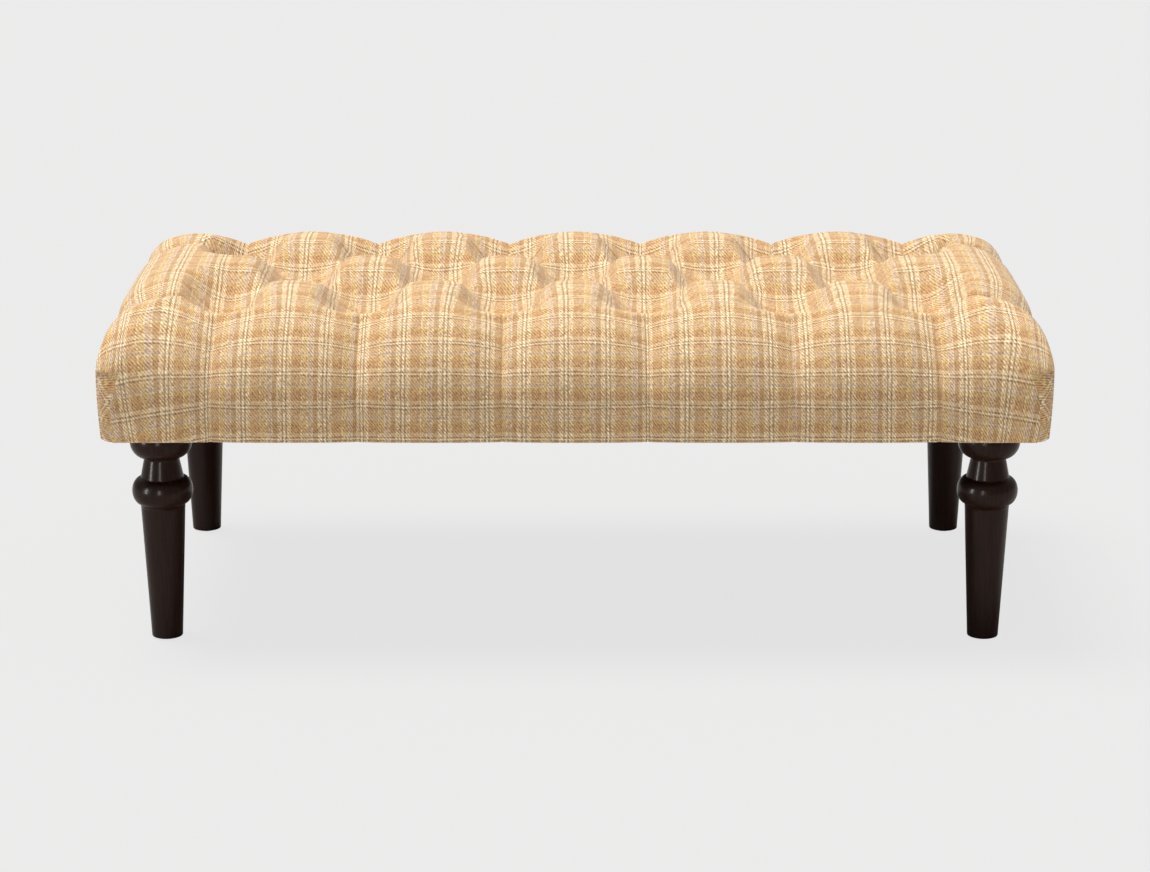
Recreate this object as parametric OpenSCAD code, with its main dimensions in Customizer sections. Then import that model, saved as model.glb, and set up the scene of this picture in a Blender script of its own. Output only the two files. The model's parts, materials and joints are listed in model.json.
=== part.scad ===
// Button tufted footstool: a long padded bench seat on four turned legs.
// Millimetres, +Z up, the front faces -Y, the origin is on the floor under the middle of the seat.

/* [Seat] */
// Length of the seat along its bottom edge
seat_l = 1203; // [1160:1:1300]
// Depth of the seat along its bottom edge
seat_d = 613; // [590:1:680]
// Height of the seat's bottom edge above the floor
seat_z = 282; // [240:1:340]
// Height from the bottom edge to the crest of the lobes
seat_h = 172; // [160:1:190]
// How far the sides swell past the bottom edge
bulge = 8; // [4:0.5:12]
// Radius of the upright corners at the bottom edge
corner_r = 28; // [24:1:36]

/* [Tufting] */
// Distance from the seat's bottom edge in to the buttons next to an end
end_margin = 139.75; // [134:0.25:150]
// Distance from the seat's bottom edge in to the front and back rows of buttons
front_margin = 153.5; // [148:0.5:160]
// Depth of a button's pit below the crest of the lobes
tuft_depth = 64; // [45:1:72]
// Depth of the side pleats where they leave the top
pleat_depth = 24; // [10:1:30]
// Diameter of a covered button
button_d = 24; // [18:1:28]
// Height of a covered button's dome
button_h = 7; // [5:0.5:9]
// Diameter of the button twine
twine_d = 2; // [1.5:0.1:3]

/* [Layers] */
// Thickness of the cover cloth
cover_t = 1.8; // [1.2:0.1:2.5]
// Thickness of the fibre batting
batting_t = 8; // [5:0.5:11]
// Width of the cover's hem under the rails
hem_w = 34; // [26:1:40]
// Thickness of the dust cover
dust_t = 1; // [0.6:0.1:1.5]

/* [Frame] */
// Thickness of the frame rails
rail_t = 22; // [18:1:25]
// Height of the frame rails
rail_h = 58; // [50:1:64]
// Thickness of the plywood deck
deck_t = 12; // [9:1:15]
// Height of the two stretchers
stretcher_h = 45; // [38:1:48]
// Side of the corner blocks
block_w = 84; // [78:1:96]
// Height of the corner blocks
block_h = 36; // [32:1:42]
// Diameter of the wooden dowels
dowel_d = 8; // [6:0.5:9]
// Length of the wooden dowels
dowel_l = 36; // [30:1:40]

/* [Legs] */
// Distance from the seat's bottom edge in to a leg's centre
leg_in = 65.5; // [64:0.5:72]
// Radius of the foot
foot_r = 20.2; // [18:0.1:24]
// Radius at the top of the taper
taper_r = 29; // [26:0.5:32]
// Largest radius of the ring
ring_r = 39.4; // [36:0.1:42]
// Radius of the waist over the ring
waist_r = 22.4; // [20:0.1:26]
// Largest radius of the leg's round head
head_r = 40.5; // [38:0.5:44]
// Diameter of the hanger bolts
bolt_d = 8; // [6:0.5:10]
// Width of the steel leg plates
plate_w = 64; // [58:1:66]
// Thickness of the steel leg plates
plate_t = 2.5; // [2:0.1:3]
// Diameter of the foot glides
glide_d = 28; // [22:1:34]
// Thickness of the foot glides
glide_t = 2; // [1.5:0.1:3]

/* [Hidden] */

$fn = 64;
gap = 0.3;
cut = 1;

// Heights of the layers, from the floor up
hem_top_z = seat_z + cover_t;
rail_top_z = hem_top_z + rail_h;
deck_top_z = rail_top_z + deck_t;
crest_z = seat_z + seat_h;
leg_top_z = seat_z - dust_t;

// Outer faces of the frame, inside the cover and the batting
side_layers = cover_t + batting_t + 2 * gap;
frame_x = seat_l / 2 - side_layers;
frame_y = seat_d / 2 - side_layers;
frame_corner_r = corner_r - side_layers / 2;
inner_x = frame_x - rail_t;
inner_y = frame_y - rail_t;

// Places of the legs
leg_x = seat_l / 2 - leg_in;
leg_y = seat_d / 2 - leg_in;

// Buttons in the front and back rows and in the middle one, and the distances between them
long_row_n = 6;
short_row_n = 5;
tuft_pitch = (seat_l - 2 * end_margin) / (long_row_n - 1);
row_pitch = seat_d / 2 - front_margin;

// The tufting grid: six steps between buttons and three between rows
grid_steps = 6;
row_steps = 3;
step_x = tuft_pitch / grid_steps;
step_y = row_pitch / row_steps;
grid_k = 15;
grid_m = 3;
tuft_x = grid_k * step_x;
tuft_y = grid_m * step_y;
tufts = [
    for (row = [-1 : 1])
        let (n = row == 0 ? short_row_n : long_row_n)
            for (i = [0 : n - 1])
                [(i - (n - 1) / 2) * tuft_pitch, row * row_pitch]
];

// Depth of the tufted top at the grid's points, as shares of tuft_depth: on a row of
// buttons and one step off it, for zero to three steps along from the nearest button
pit_shares = [[1, 0.58, 0.14, 0.03], [0.66, 0.44, 0.18, 0.16]];
// Depth of a side pleat, for zero to three steps along from it
pleat_shares = [1, 0.42, 0.1, 0];
// The corner's extra columns between its two pleats
corner_pleat_shares = [1, 0.3, 0.05, 0, 0.05, 0.3, 1];
corner_fall_shares = [0, 0.4, 0.9, 1, 0.9, 0.4, 0];
corner_fall = 8;
crown = 2;

// The four rings below the tufted top: crest, shoulder, swell and bottom edge. The shoulder
// is long and soft at the front and back and tighter at the ends.
front_crest_in = 80;
front_crest_drop = 9;
front_shoulder_in = 22;
front_shoulder_drop = 48;
front_swell_up = 50;
end_crest_in = 43;
end_crest_drop = 3;
end_shoulder_in = 10;
end_shoulder_drop = 21;
end_swell_up = 110;
front_ring_out = [-front_crest_in, -front_shoulder_in, bulge, 0];
front_ring_up = [seat_h - front_crest_drop, seat_h - front_shoulder_drop, front_swell_up, 0];
end_ring_out = [-end_crest_in, -end_shoulder_in, bulge, 0];
end_ring_up = [seat_h - end_crest_drop, seat_h - end_shoulder_drop, end_swell_up, 0];
corner_end_shares = [0, 0, 0.2, 0.5, 0.8, 1];
ring_tilts = [0, 45, 90, 90];
ring_pleat_shares = [1, 0.62, 0.28, 0.1];
ring_fall_shares = [1, 0.9, 0, 0];
ring_fan_shares = [1, 1.002, 1.004, 1.007];
ring_corner_more = [2, 12, 10, 0];
ring_corner_r = [for (more = ring_corner_more) corner_r + more];
last_ring = 3;

// Every column round the seat: the side it is on and its number along that side
columns = concat(
    [for (k = [-grid_k : grid_k]) [0, k]], [for (j = [1 : 5]) [1, j]],
    [for (m = [-grid_m : grid_m]) [2, m]], [for (j = [5 : -1 : 1]) [3, j]],
    [for (k = [grid_k : -1 : -grid_k]) [4, k]], [for (j = [1 : 5]) [5, j]],
    [for (m = [grid_m : -1 : -grid_m]) [6, m]], [for (j = [5 : -1 : 1]) [7, j]]);
column_n = len(columns);
grid_w = 2 * grid_k + 1;
grid_n = grid_w * (2 * grid_m + 1);

function grid_index(k, m) = (m + grid_m) * grid_w + k + grid_k;

// Steps from a place along a row to the nearest button of that row
function steps_off(k, shift) =
    let (rest = (k + shift + 10 * grid_steps) % grid_steps)
        min(rest, grid_steps - rest);

// Depth of the tufted top below its crest at grid point k, m
function pit(k, m) =
    let (off_row = (m + grid_m) % row_steps,
         odd_row = round(m / row_steps) % 2 != 0)
        tuft_depth * pit_shares[off_row == 0 ? 0 : 1][steps_off(k, odd_row ? row_steps : 0)];

function crown_at(k, m) = crown * (1 - pow(k / grid_k, 2) / 2 - pow(m / grid_m, 2) / 2);

// The tufted top of the surface that lies depth below the outside of the cover
function top_points(depth) = [
    for (m = [-grid_m : grid_m])
        for (k = [-grid_k : grid_k])
            [k * step_x, m * step_y, crest_z + crown_at(k, m) - pit(k, m) - depth]
];

// The grid point that a column starts from
function anchor(c) =
    let (side = c[0], i = c[1])
        side == 0 ? grid_index(i, -grid_m) :
        side == 1 ? grid_index(grid_k, -grid_m) :
        side == 2 ? grid_index(grid_k, i) :
        side == 3 ? grid_index(grid_k, grid_m) :
        side == 4 ? grid_index(i, grid_m) :
        side == 5 ? grid_index(-grid_k, grid_m) :
        side == 6 ? grid_index(-grid_k, i) :
        grid_index(-grid_k, -grid_m);

// One of the five columns round a corner, on an outline of half sizes hx and hy
function corner_xy(j, hx, hy, r, fan) =
    let (pleat_x = tuft_x * fan, pleat_y = tuft_y * fan)
        j == 1 ? [(pleat_x + hx - r) / 2, hy] :
        j == 2 ? [hx - r, hy] :
        j == 3 ? [hx - r + r * sin(45), hy - r + r * cos(45)] :
        j == 4 ? [hx, hy - r] :
        [hx, (pleat_y + hy - r) / 2];

function mirrored(p, sx, sy) = [sx * p[0], sy * p[1]];

function column_xy(c, hx, hy, r, fan) =
    let (side = c[0], i = c[1])
        side == 0 ? [i * step_x * fan, -hy] :
        side == 1 ? mirrored(corner_xy(i, hx, hy, r, fan), 1, -1) :
        side == 2 ? [hx, i * step_y * fan] :
        side == 3 ? corner_xy(i, hx, hy, r, fan) :
        side == 4 ? [i * step_x * fan, hy] :
        side == 5 ? mirrored(corner_xy(i, hx, hy, r, fan), -1, 1) :
        side == 6 ? [-hx, i * step_y * fan] :
        mirrored(corner_xy(i, hx, hy, r, fan), -1, -1);

// How much of a pleat a column has
function pleat_share(c) =
    let (side = c[0], i = c[1])
        side % 2 == 1 ? corner_pleat_shares[i] :
        side % 4 == 0 ? pleat_shares[steps_off(i, row_steps)] :
        pleat_shares[grid_m - abs(i)];

function fall_share(c) = c[0] % 2 == 1 ? corner_fall_shares[c[1]] : 0;

// How far a column's heights are those of the ends
function end_share(c) =
    let (side = c[0], i = c[1])
        side % 2 == 1 ? corner_end_shares[i] :
        side % 4 == 0 ? 0 : 1;

function ring_height(c, n) =
    front_ring_up[n] + (end_ring_up[n] - front_ring_up[n]) * end_share(c);

// The point of column c on ring n, depth below the outside of the cover
function ring_point(c, n, depth) =
    let (in = pleat_depth * ring_pleat_shares[n] * pleat_share(c) + depth,
         level_in = in * sin(ring_tilts[n]),
         fall = corner_fall * ring_fall_shares[n] * fall_share(c),
         xy = column_xy(c, seat_l / 2 + end_ring_out[n] - level_in,
                        seat_d / 2 + front_ring_out[n] - level_in,
                        ring_corner_r[n] - level_in, ring_fan_shares[n]))
        [xy[0], xy[1], seat_z + ring_height(c, n) - in * cos(ring_tilts[n]) - fall];

function lifted(p, z) = [p[0], p[1], z];

// The point of column c on the frame's outer face, out from it by clear, at height z
function face_point(c, clear, z) =
    let (xy = column_xy(c, frame_x + clear, frame_y + clear,
                        corner_r - side_layers + clear, ring_fan_shares[last_ring]))
        [xy[0], xy[1], z];

function rings(first, last, depth) = [
    for (n = [first : last]) for (c = columns) ring_point(c, n, depth)
];

// The outside or the inside of the cover, or the outside of the batting, down to base_z
function draped_points(depth, base_z) = concat(
    top_points(depth),
    rings(0, last_ring - 1, depth),
    [for (c = columns) lifted(ring_point(c, last_ring, depth), base_z)]);

// The inside of the batting, which lies on the foam and on the frame's outer faces
function batting_lining_points(depth) = concat(
    top_points(depth),
    rings(0, 1, depth),
    [for (c = columns) face_point(c, gap, deck_top_z)],
    [for (c = columns) face_point(c, gap, hem_top_z)]);

function foam_points(depth) = concat(
    top_points(depth),
    rings(0, 1, depth),
    [for (c = columns) face_point(c, 0, deck_top_z)]);

// The two triangles of a grid cell, split along the crease that crosses it
function cell_faces(k, m) =
    let (a = grid_index(k, m), b = grid_index(k + 1, m),
         c = grid_index(k + 1, m + 1), d = grid_index(k, m + 1),
         first_half = (k + 10 * grid_steps) % grid_steps < grid_steps / 2,
         rising = first_half == (m >= 0))
        rising ? [[a, c, b], [a, d, c]] : [[a, d, b], [b, d, c]];

function top_faces() = [
    for (m = [-grid_m : grid_m - 1])
        for (k = [-grid_k : grid_k - 1])
            for (f = cell_faces(k, m)) f
];

function ring_index(n, q) = grid_n + n * column_n + q % column_n;

function upper_index(n, q) = n < 0 ? anchor(columns[q % column_n]) : ring_index(n, q);

// The faces between one ring and the next one down
function strip_faces(n) = [
    for (q = [0 : column_n - 1])
        let (a = upper_index(n - 1, q), b = upper_index(n - 1, q + 1),
             c = ring_index(n, q + 1), d = ring_index(n, q))
            for (f = a == b ? [[a, c, d]] : [[a, b, d], [b, c, d]]) f
];

function surface_faces(ring_n) = concat(
    top_faces(), [for (n = [0 : ring_n - 1]) for (f = strip_faces(n)) f]);

function turned(faces, first) = [for (f = faces) [first + f[2], first + f[1], first + f[0]]];

// The columns at the middle of the four corners
corner_marks = [
    for (q = [0 : column_n - 1])
        if (columns[q][0] % 2 == 1 && columns[q][1] == 3) q
];

// The hem's flat faces between a ring and the four corners of the hem's inner edge
function hem_quarters(first, corner) = [
    for (side = [0 : 3])
        let (from = side == 0 ? corner_marks[3] - column_n : corner_marks[side - 1],
             to = corner_marks[side])
            concat([for (q = [from : to]) first + (q + column_n) % column_n],
                   [corner + (side + 1) % 4, corner + side])
];

function backwards(faces) = [
    for (f = faces) [for (i = [len(f) - 1 : -1 : 0]) f[i]]
];

hem_x = seat_l / 2 - hem_w;
hem_y = seat_d / 2 - hem_w;
function hem_corners(z) = [
    [-hem_x, -hem_y, z], [hem_x, -hem_y, z], [hem_x, hem_y, z], [-hem_x, hem_y, z]
];

// Small fittings, and the clearances that they need
fit = 0.1;
end_play = 0.5;
hole_sides = 24;
screw_d = 4;
screw_head_d = 8;
screw_head_h = 2.4;
deck_screw_l = 34;
deck_screw_x_shares = [-0.9, -0.58, -0.2, 0.2, 0.58, 0.9];
deck_screw_y_shares = [-0.35, 0.35];
washer_d = 20;
washer_t = 2;
knot_d = 6;
back_t = 1;
button_side_share = 1 / 3;
back_in = 2;
shank_d = 5;
dowel_up_shares = [0.28, 0.72];
dowel_in_rail_share = 1 / 3;
stretcher_x_share = 0.192;
block_z = hem_top_z + plate_t;
block_cut_share = 0.36;
block_screw_in = 10;
block_screw_deep = 26;
block_screw_l = 42;
block_screw_up_share = 0.6;
plate_corner_r = 8;
plate_screw_in = 8;
plate_screw_d = 3.5;
plate_screw_head_d = 7;
plate_screw_head_h = 1.8;
plate_screw_l = 15;
boss_wall = 4;
boss_h = 8;
bolt_in_leg = 30;
bolt_in_block = 34;
nail_d = 2.4;
nail_l = 14;
dust_in = 12;
dust_hole_gap = 1;

// Legs: heights below the leg's top, and the sizes of the rounded forms
ring_h = 34;
ring_top_drop = 63;
ring_top_r = 28;
waist_drop = 35.5;
head_half_h = 22;
head_drop = 13;
foot_round = 1.3;
arc_steps = 16;

// Places mirrored to the four corners: sx is -1 on the left, sy is -1 at the front
module at_corners(x, y, z = 0) {
    for (sx = [-1, 1])
        for (sy = [-1, 1])
            translate([sx * x, sy * y, z])
                scale_signs(sx, sy)
                    children();
}

module scale_signs(sx, sy) {
    mirror([sx < 0 ? 1 : 0, 0, 0])
        mirror([0, sy < 0 ? 1 : 0, 0])
            children();
}

module at_tufts(z) {
    for (t = tufts)
        translate([t[0], t[1], z])
            children();
}

// The outline of the frame, with its upright corners rounded
module frame_outline() {
    square([2 * frame_x, 2 * (frame_y - frame_corner_r)], center = true);
    square([2 * (frame_x - frame_corner_r), 2 * frame_y], center = true);
    for (sx = [-1, 1])
        for (sy = [-1, 1])
            translate([sx * (frame_x - frame_corner_r), sy * (frame_y - frame_corner_r)])
                circle(frame_corner_r);
}

module twine_holes(z0, z1) {
    at_tufts(z0)
        cylinder(h = z1 - z0, r = twine_d / 2 + gap, $fn = 16);
}

// The pulled-down cloth cover, with its hem turned under the rails
module tufted_cover() {
    outer = draped_points(0, seat_z);
    inner = draped_points(cover_t, hem_top_z);
    n = len(outer);
    outer_edge = grid_n + last_ring * column_n;
    low = 2 * n;
    high = low + 4;
    hem_edge = [for (i = [0 : 3]) [low + i, low + (i + 1) % 4, high + (i + 1) % 4, high + i]];
    color("tan")
        difference() {
            polyhedron(
                points = concat(outer, inner, hem_corners(seat_z), hem_corners(hem_top_z)),
                faces = concat(
                    surface_faces(last_ring + 1),
                    turned(surface_faces(last_ring + 1), n),
                    hem_quarters(outer_edge, low),
                    backwards(hem_quarters(n + outer_edge, high)),
                    hem_edge),
                convexity = 10);
            twine_holes(deck_top_z, crest_z);
        }
}

// The soft fibre layer between the cover and the foam, down over the frame's sides
module fibre_batting() {
    outer = draped_points(cover_t + gap, hem_top_z);
    inner = batting_lining_points(cover_t + gap + batting_t);
    n = len(outer);
    edge = grid_n + last_ring * column_n;
    bottom = [
        for (q = [0 : column_n - 1])
            let (next = (q + 1) % column_n)
                [edge + q, edge + next, n + edge + next, n + edge + q]
    ];
    color("ivory")
        difference() {
            polyhedron(
                points = concat(outer, inner),
                faces = concat(
                    surface_faces(last_ring + 1),
                    turned(surface_faces(last_ring + 1), n),
                    bottom),
                convexity = 10);
            twine_holes(deck_top_z, crest_z);
        }
}

// The foam, pressed into the tufted form and flat on the deck
module foam_pad() {
    upper = foam_points(side_layers);
    n = len(upper);
    edge = grid_n + (last_ring - 1) * column_n;
    base = [for (m = [-grid_m : grid_m]) for (k = [-grid_k : grid_k]) [k * step_x, m * step_y, deck_top_z]];
    base_faces = [
        for (f = surface_faces(1))
            [for (i = [2 : -1 : 0]) f[i] < grid_n ? n + f[i] : edge + f[i] - grid_n]
    ];
    color("khaki")
        difference() {
            polyhedron(
                points = concat(upper, base),
                faces = concat(surface_faces(last_ring), base_faces),
                convexity = 10);
            twine_holes(deck_top_z - cut, crest_z);
        }
}

// The buttons sit where the cloth round a pit is as wide as they are
pit_z = crest_z - tuft_depth;
pit_slope = tuft_depth * (pit_shares[0][0] - pit_shares[0][1]) / step_x;
button_z = pit_z + crown + pit_slope * button_d / 2 + gap;
shank_z = pit_z + crown + pit_slope * shank_d / 2 + gap;

module covered_buttons() {
    color("peru")
        at_tufts(button_z)
            rotate_extrude()
                polygon(concat([[0, 0], [button_d / 2 - back_in / 2, 0]], [
                    for (i = [0 : arc_steps])
                        let (a = 90 * i / arc_steps)
                            [button_d / 2 * cos(a),
                         button_h * (button_side_share + (1 - button_side_share) * sin(a))]
                ]));
}

module button_backs() {
    color("silver")
        at_tufts(button_z)
            rotate_extrude()
                polygon([
                    [0, 0], [button_d / 2 - back_in, 0], [button_d / 2 - back_in - back_t, -back_t],
                    [shank_d / 2, -back_t], [shank_d / 2, shank_z - button_z], [0, shank_z - button_z]
                ]);
}

module button_twines() {
    knot_z = rail_top_z - washer_t - knot_d / 2;
    color("beige")
        at_tufts(0)
            union() {
                translate([0, 0, knot_z])
                    cylinder(h = shank_z - knot_z, r = twine_d / 2, $fn = 16);
                translate([0, 0, knot_z])
                    sphere(d = knot_d, $fn = 24);
            }
}

module twine_washers() {
    color("silver")
        at_tufts(rail_top_z - washer_t)
            difference() {
                cylinder(h = washer_t, r = washer_d / 2);
                translate([0, 0, -cut])
                    cylinder(h = washer_t + 2 * cut, r = twine_d / 2 + gap, $fn = hole_sides);
            }
}

// A countersunk screw that points down, its head's top at z = 0
module screw_down(d, length, head_d, head_h, clear = 0) {
    rotate_extrude($fn = hole_sides)
        polygon([
            [0, clear], [head_d / 2 + clear, clear], [head_d / 2 + clear, 0],
            [d / 2 + clear, -head_h], [d / 2 + clear, d / 2 - length],
            [clear, -length - clear], [0, -length - clear]
        ]);
}

module at_deck_screws(z) {
    for (sy = [-1, 1])
        for (share = deck_screw_x_shares)
            translate([share * frame_x, sy * (frame_y - rail_t / 2), z])
                children();
    for (sx = [-1, 1])
        for (share = deck_screw_y_shares)
            translate([sx * (frame_x - rail_t / 2), share * frame_y, z])
                children();
}

module deck_screw(clear) {
    screw_down(screw_d, deck_screw_l, screw_head_d, screw_head_h, clear);
}

// Plywood under the foam, with a hole under each button
module deck_panel() {
    color("burlywood")
        difference() {
            translate([0, 0, rail_top_z])
                linear_extrude(deck_t)
                    frame_outline();
            twine_holes(rail_top_z - cut, deck_top_z + cut);
            at_deck_screws(deck_top_z)
                deck_screw(fit);
        }
}

module deck_screws() {
    color("gold")
        at_deck_screws(deck_top_z)
            deck_screw(0);
}

// Dowels lie along Y, a third in a long rail and the rest in the piece that butts on it
module dowel_row(x, z0, h, radius, length) {
    middle_y = inner_y + dowel_l * (dowel_in_rail_share - 1 / 2);
    for (sx = [-1, 1])
        for (sy = [-1, 1])
            for (share = dowel_up_shares)
                translate([sx * x, sy * middle_y, z0 + share * h])
                    rotate([90, 0, 0])
                        cylinder(h = length, r = radius, center = true, $fn = hole_sides);
}

module rail_dowel_row(clear, play) {
    dowel_row(frame_x - rail_t / 2, hem_top_z, rail_h, dowel_d / 2 + clear, dowel_l + 2 * play);
}

module stretcher_dowel_row(clear, play) {
    dowel_row(stretcher_x_share * seat_l, rail_top_z - stretcher_h, stretcher_h,
              dowel_d / 2 + clear, dowel_l + 2 * play);
}

// The two screws of a corner block, from the block's inside corner at the origin outwards:
// the block lies in -X and -Y of it, and the screws go into the rails
module block_screw_pair(clear) {
    along = block_w - block_screw_in;
    up = block_h * block_screw_up_share;
    translate([-along, -block_screw_deep, up])
        rotate([90, 0, 0])
            block_screw(clear);
    translate([-block_screw_deep, -along, up])
        rotate([0, -90, 0])
            block_screw(clear);
}

// A pan head screw that points to -Z, its head's seat at z = 0
module block_screw(clear) {
    rotate_extrude($fn = hole_sides)
        polygon([
            [0, screw_head_h], [screw_head_d / 2 + clear, screw_head_h],
            [screw_head_d / 2 + clear, 0], [screw_d / 2 + clear, 0],
            [screw_d / 2 + clear, screw_d / 2 - block_screw_l],
            [clear, -block_screw_l - clear], [0, -block_screw_l - clear]
        ]);
}

// Each block's well for a screw head, out to the block's cut face
module block_wells() {
    along = block_w - block_screw_in;
    up = block_h * block_screw_up_share;
    translate([-along, -block_screw_deep, up])
        rotate([90, 0, 0])
            cylinder(h = block_w, r = screw_head_d / 2 + gap, $fn = hole_sides);
    translate([-block_screw_deep, -along, up])
        rotate([0, -90, 0])
            cylinder(h = block_w, r = screw_head_d / 2 + gap, $fn = hole_sides);
}

module frame_bores() {
    rail_dowel_row(fit, end_play);
    stretcher_dowel_row(fit, end_play);
    at_deck_screws(deck_top_z)
        deck_screw(fit);
    at_corners(inner_x, inner_y, block_z)
        block_screw_pair(fit);
}

// A long rail: side is -1 at the front and 1 at the back
module long_rail(side) {
    color("wheat")
        difference() {
            translate([0, 0, hem_top_z])
                linear_extrude(rail_h)
                    intersection() {
                        frame_outline();
                        translate([0, side * (frame_y - rail_t / 2)])
                            square([2 * frame_x, rail_t], center = true);
                    }
            frame_bores();
        }
}

// An end rail between the long ones: side is -1 on the left and 1 on the right
module end_rail(side) {
    color("wheat")
        difference() {
            translate([0, 0, hem_top_z])
                linear_extrude(rail_h)
                    intersection() {
                        frame_outline();
                        translate([side * (frame_x - rail_t / 2), 0])
                            square([rail_t, 2 * inner_y], center = true);
                    }
            frame_bores();
        }
}

module front_rail() {
    long_rail(-1);
}

module back_rail() {
    long_rail(1);
}

module left_rail() {
    end_rail(-1);
}

module right_rail() {
    end_rail(1);
}

module stretcher(side) {
    color("wheat")
        difference() {
            translate([side * stretcher_x_share * seat_l, 0, rail_top_z - stretcher_h / 2])
                cube([rail_t, 2 * inner_y, stretcher_h], center = true);
            stretcher_dowel_row(fit, end_play);
        }
}

module left_stretcher() {
    stretcher(-1);
}

module right_stretcher() {
    stretcher(1);
}

module rail_dowels() {
    color("sienna")
        rail_dowel_row(0, 0);
}

module stretcher_dowels() {
    color("sienna")
        stretcher_dowel_row(0, 0);
}

// A corner block with its inside corner at the origin, in -X and -Y of it
module block_body() {
    short = block_w * block_cut_share;
    linear_extrude(block_h)
        polygon([[0, 0], [0, -block_w], [-short, -block_w], [-block_w, -short], [-block_w, 0]]);
}

module corner_block(sx, sy) {
    color("wheat")
        difference() {
            translate([sx * inner_x, sy * inner_y, block_z])
                scale_signs(sx, sy)
                    difference() {
                        block_body();
                        block_screw_pair(fit);
                        block_wells();
                    }
            translate([sx * leg_x, sy * leg_y, block_z - cut])
                cylinder(h = cut + boss_h + gap, r = bolt_d / 2 + boss_wall + gap, $fn = 32);
            translate([sx * leg_x, sy * leg_y, block_z])
                cylinder(h = bolt_in_block + end_play, r = bolt_d / 2 + gap, $fn = hole_sides);
            plate_screw_set(sx, sy, fit);
        }
}

module front_left_corner_block() {
    corner_block(-1, -1);
}

module front_right_corner_block() {
    corner_block(1, -1);
}

module back_left_corner_block() {
    corner_block(-1, 1);
}

module back_right_corner_block() {
    corner_block(1, 1);
}

module corner_block_screws() {
    color("gold")
        at_corners(inner_x, inner_y, block_z)
            block_screw_pair(0);
}

// The four screws that hold a leg plate, pointing up, their heads flush with its underside
module plate_screw_set(sx, sy, clear) {
    reach = plate_w / 2 - plate_screw_in;
    for (dx = [-1, 1])
        for (dy = [-1, 1])
            translate([sx * leg_x + dx * reach, sy * leg_y + dy * reach, hem_top_z])
                rotate([180, 0, 0])
                    screw_down(plate_screw_d, plate_screw_l, plate_screw_head_d, plate_screw_head_h, clear);
}

// A steel plate under a corner block, with a threaded boss for the leg's bolt
module leg_plate(sx, sy) {
    half = plate_w / 2 - plate_corner_r;
    color("darkgray")
        difference() {
            translate([sx * leg_x, sy * leg_y, hem_top_z])
                union() {
                    linear_extrude(plate_t) {
                        square([plate_w, 2 * half], center = true);
                        square([2 * half, plate_w], center = true);
                        for (dx = [-1, 1])
                            for (dy = [-1, 1])
                                translate([dx * half, dy * half])
                                    circle(plate_corner_r);
                    }
                    cylinder(h = plate_t + boss_h, r = bolt_d / 2 + boss_wall, $fn = 32);
                }
            translate([sx * leg_x, sy * leg_y, hem_top_z - cut])
                cylinder(h = plate_t + boss_h + 2 * cut, r = bolt_d / 2 + fit, $fn = 32);
            plate_screw_set(sx, sy, fit);
        }
}

module front_left_leg_plate() {
    leg_plate(-1, -1);
}

module front_right_leg_plate() {
    leg_plate(1, -1);
}

module back_left_leg_plate() {
    leg_plate(-1, 1);
}

module back_right_leg_plate() {
    leg_plate(1, 1);
}

module leg_plate_screws() {
    color("gold")
        for (sx = [-1, 1])
            for (sy = [-1, 1])
                plate_screw_set(sx, sy, 0);
}

module hanger_bolts() {
    color("silver")
        for (sx = [-1, 1])
            for (sy = [-1, 1])
                translate([sx * leg_x, sy * leg_y, leg_top_z - bolt_in_leg])
                    cylinder(h = bolt_in_leg + (block_z - leg_top_z) + bolt_in_block, r = bolt_d / 2, $fn = 32);
}

// A leg's turned outline: foot, taper, ring, waist and round head
function arc_angle(i, from, to) = from + (to - from) * i / arc_steps;

function leg_profile() =
    let (ring_top = leg_top_z - ring_top_drop,
         ring_low = ring_top - ring_h,
         head_z = leg_top_z - head_drop,
         head_top_angle = asin(head_drop / head_half_h))
        concat(
            [[0, glide_t], [foot_r - foot_round, glide_t], [foot_r, glide_t + foot_round]],
            [for (i = [0 : arc_steps])
                let (a = arc_angle(i, 0, 180),
                     core = taper_r + (ring_top_r - taper_r) * i / arc_steps)
                    [core + (ring_r - core) * sin(a), ring_low + ring_h * (1 - cos(a)) / 2]],
            [[waist_r, leg_top_z - waist_drop]],
            [for (i = [0 : arc_steps])
                let (a = arc_angle(i, -90, head_top_angle))
                    [waist_r + (head_r - waist_r) * cos(a), head_z + head_half_h * sin(a)]],
            [[0, leg_top_z]]);

module leg(sx, sy) {
    color([0.16, 0.11, 0.09])
        translate([sx * leg_x, sy * leg_y, 0])
            difference() {
                rotate_extrude($fn = 96)
                    polygon(leg_profile());
                translate([0, 0, leg_top_z - bolt_in_leg - end_play])
                    cylinder(h = bolt_in_leg + end_play + cut, r = bolt_d / 2 + fit, $fn = 32);
                cylinder(h = glide_t + nail_l + end_play, r = nail_d / 2 + fit, $fn = hole_sides);
            }
}

module front_left_leg() {
    leg(-1, -1);
}

module front_right_leg() {
    leg(1, -1);
}

module back_left_leg() {
    leg(-1, 1);
}

module back_right_leg() {
    leg(1, 1);
}

// A nailed nylon glide under a foot
module glide(sx, sy) {
    color("dimgray")
        translate([sx * leg_x, sy * leg_y, 0])
            rotate_extrude($fn = 48)
                polygon([
                    [0, 0], [(glide_d - glide_t) / 2, 0], [glide_d / 2, glide_t / 2], [glide_d / 2, glide_t],
                    [nail_d / 2, glide_t], [nail_d / 2, glide_t + nail_l - nail_d], [0, glide_t + nail_l]
                ]);
}

module front_left_glide() {
    glide(-1, -1);
}

module front_right_glide() {
    glide(1, -1);
}

module back_left_glide() {
    glide(-1, 1);
}

module back_right_glide() {
    glide(1, 1);
}

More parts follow.
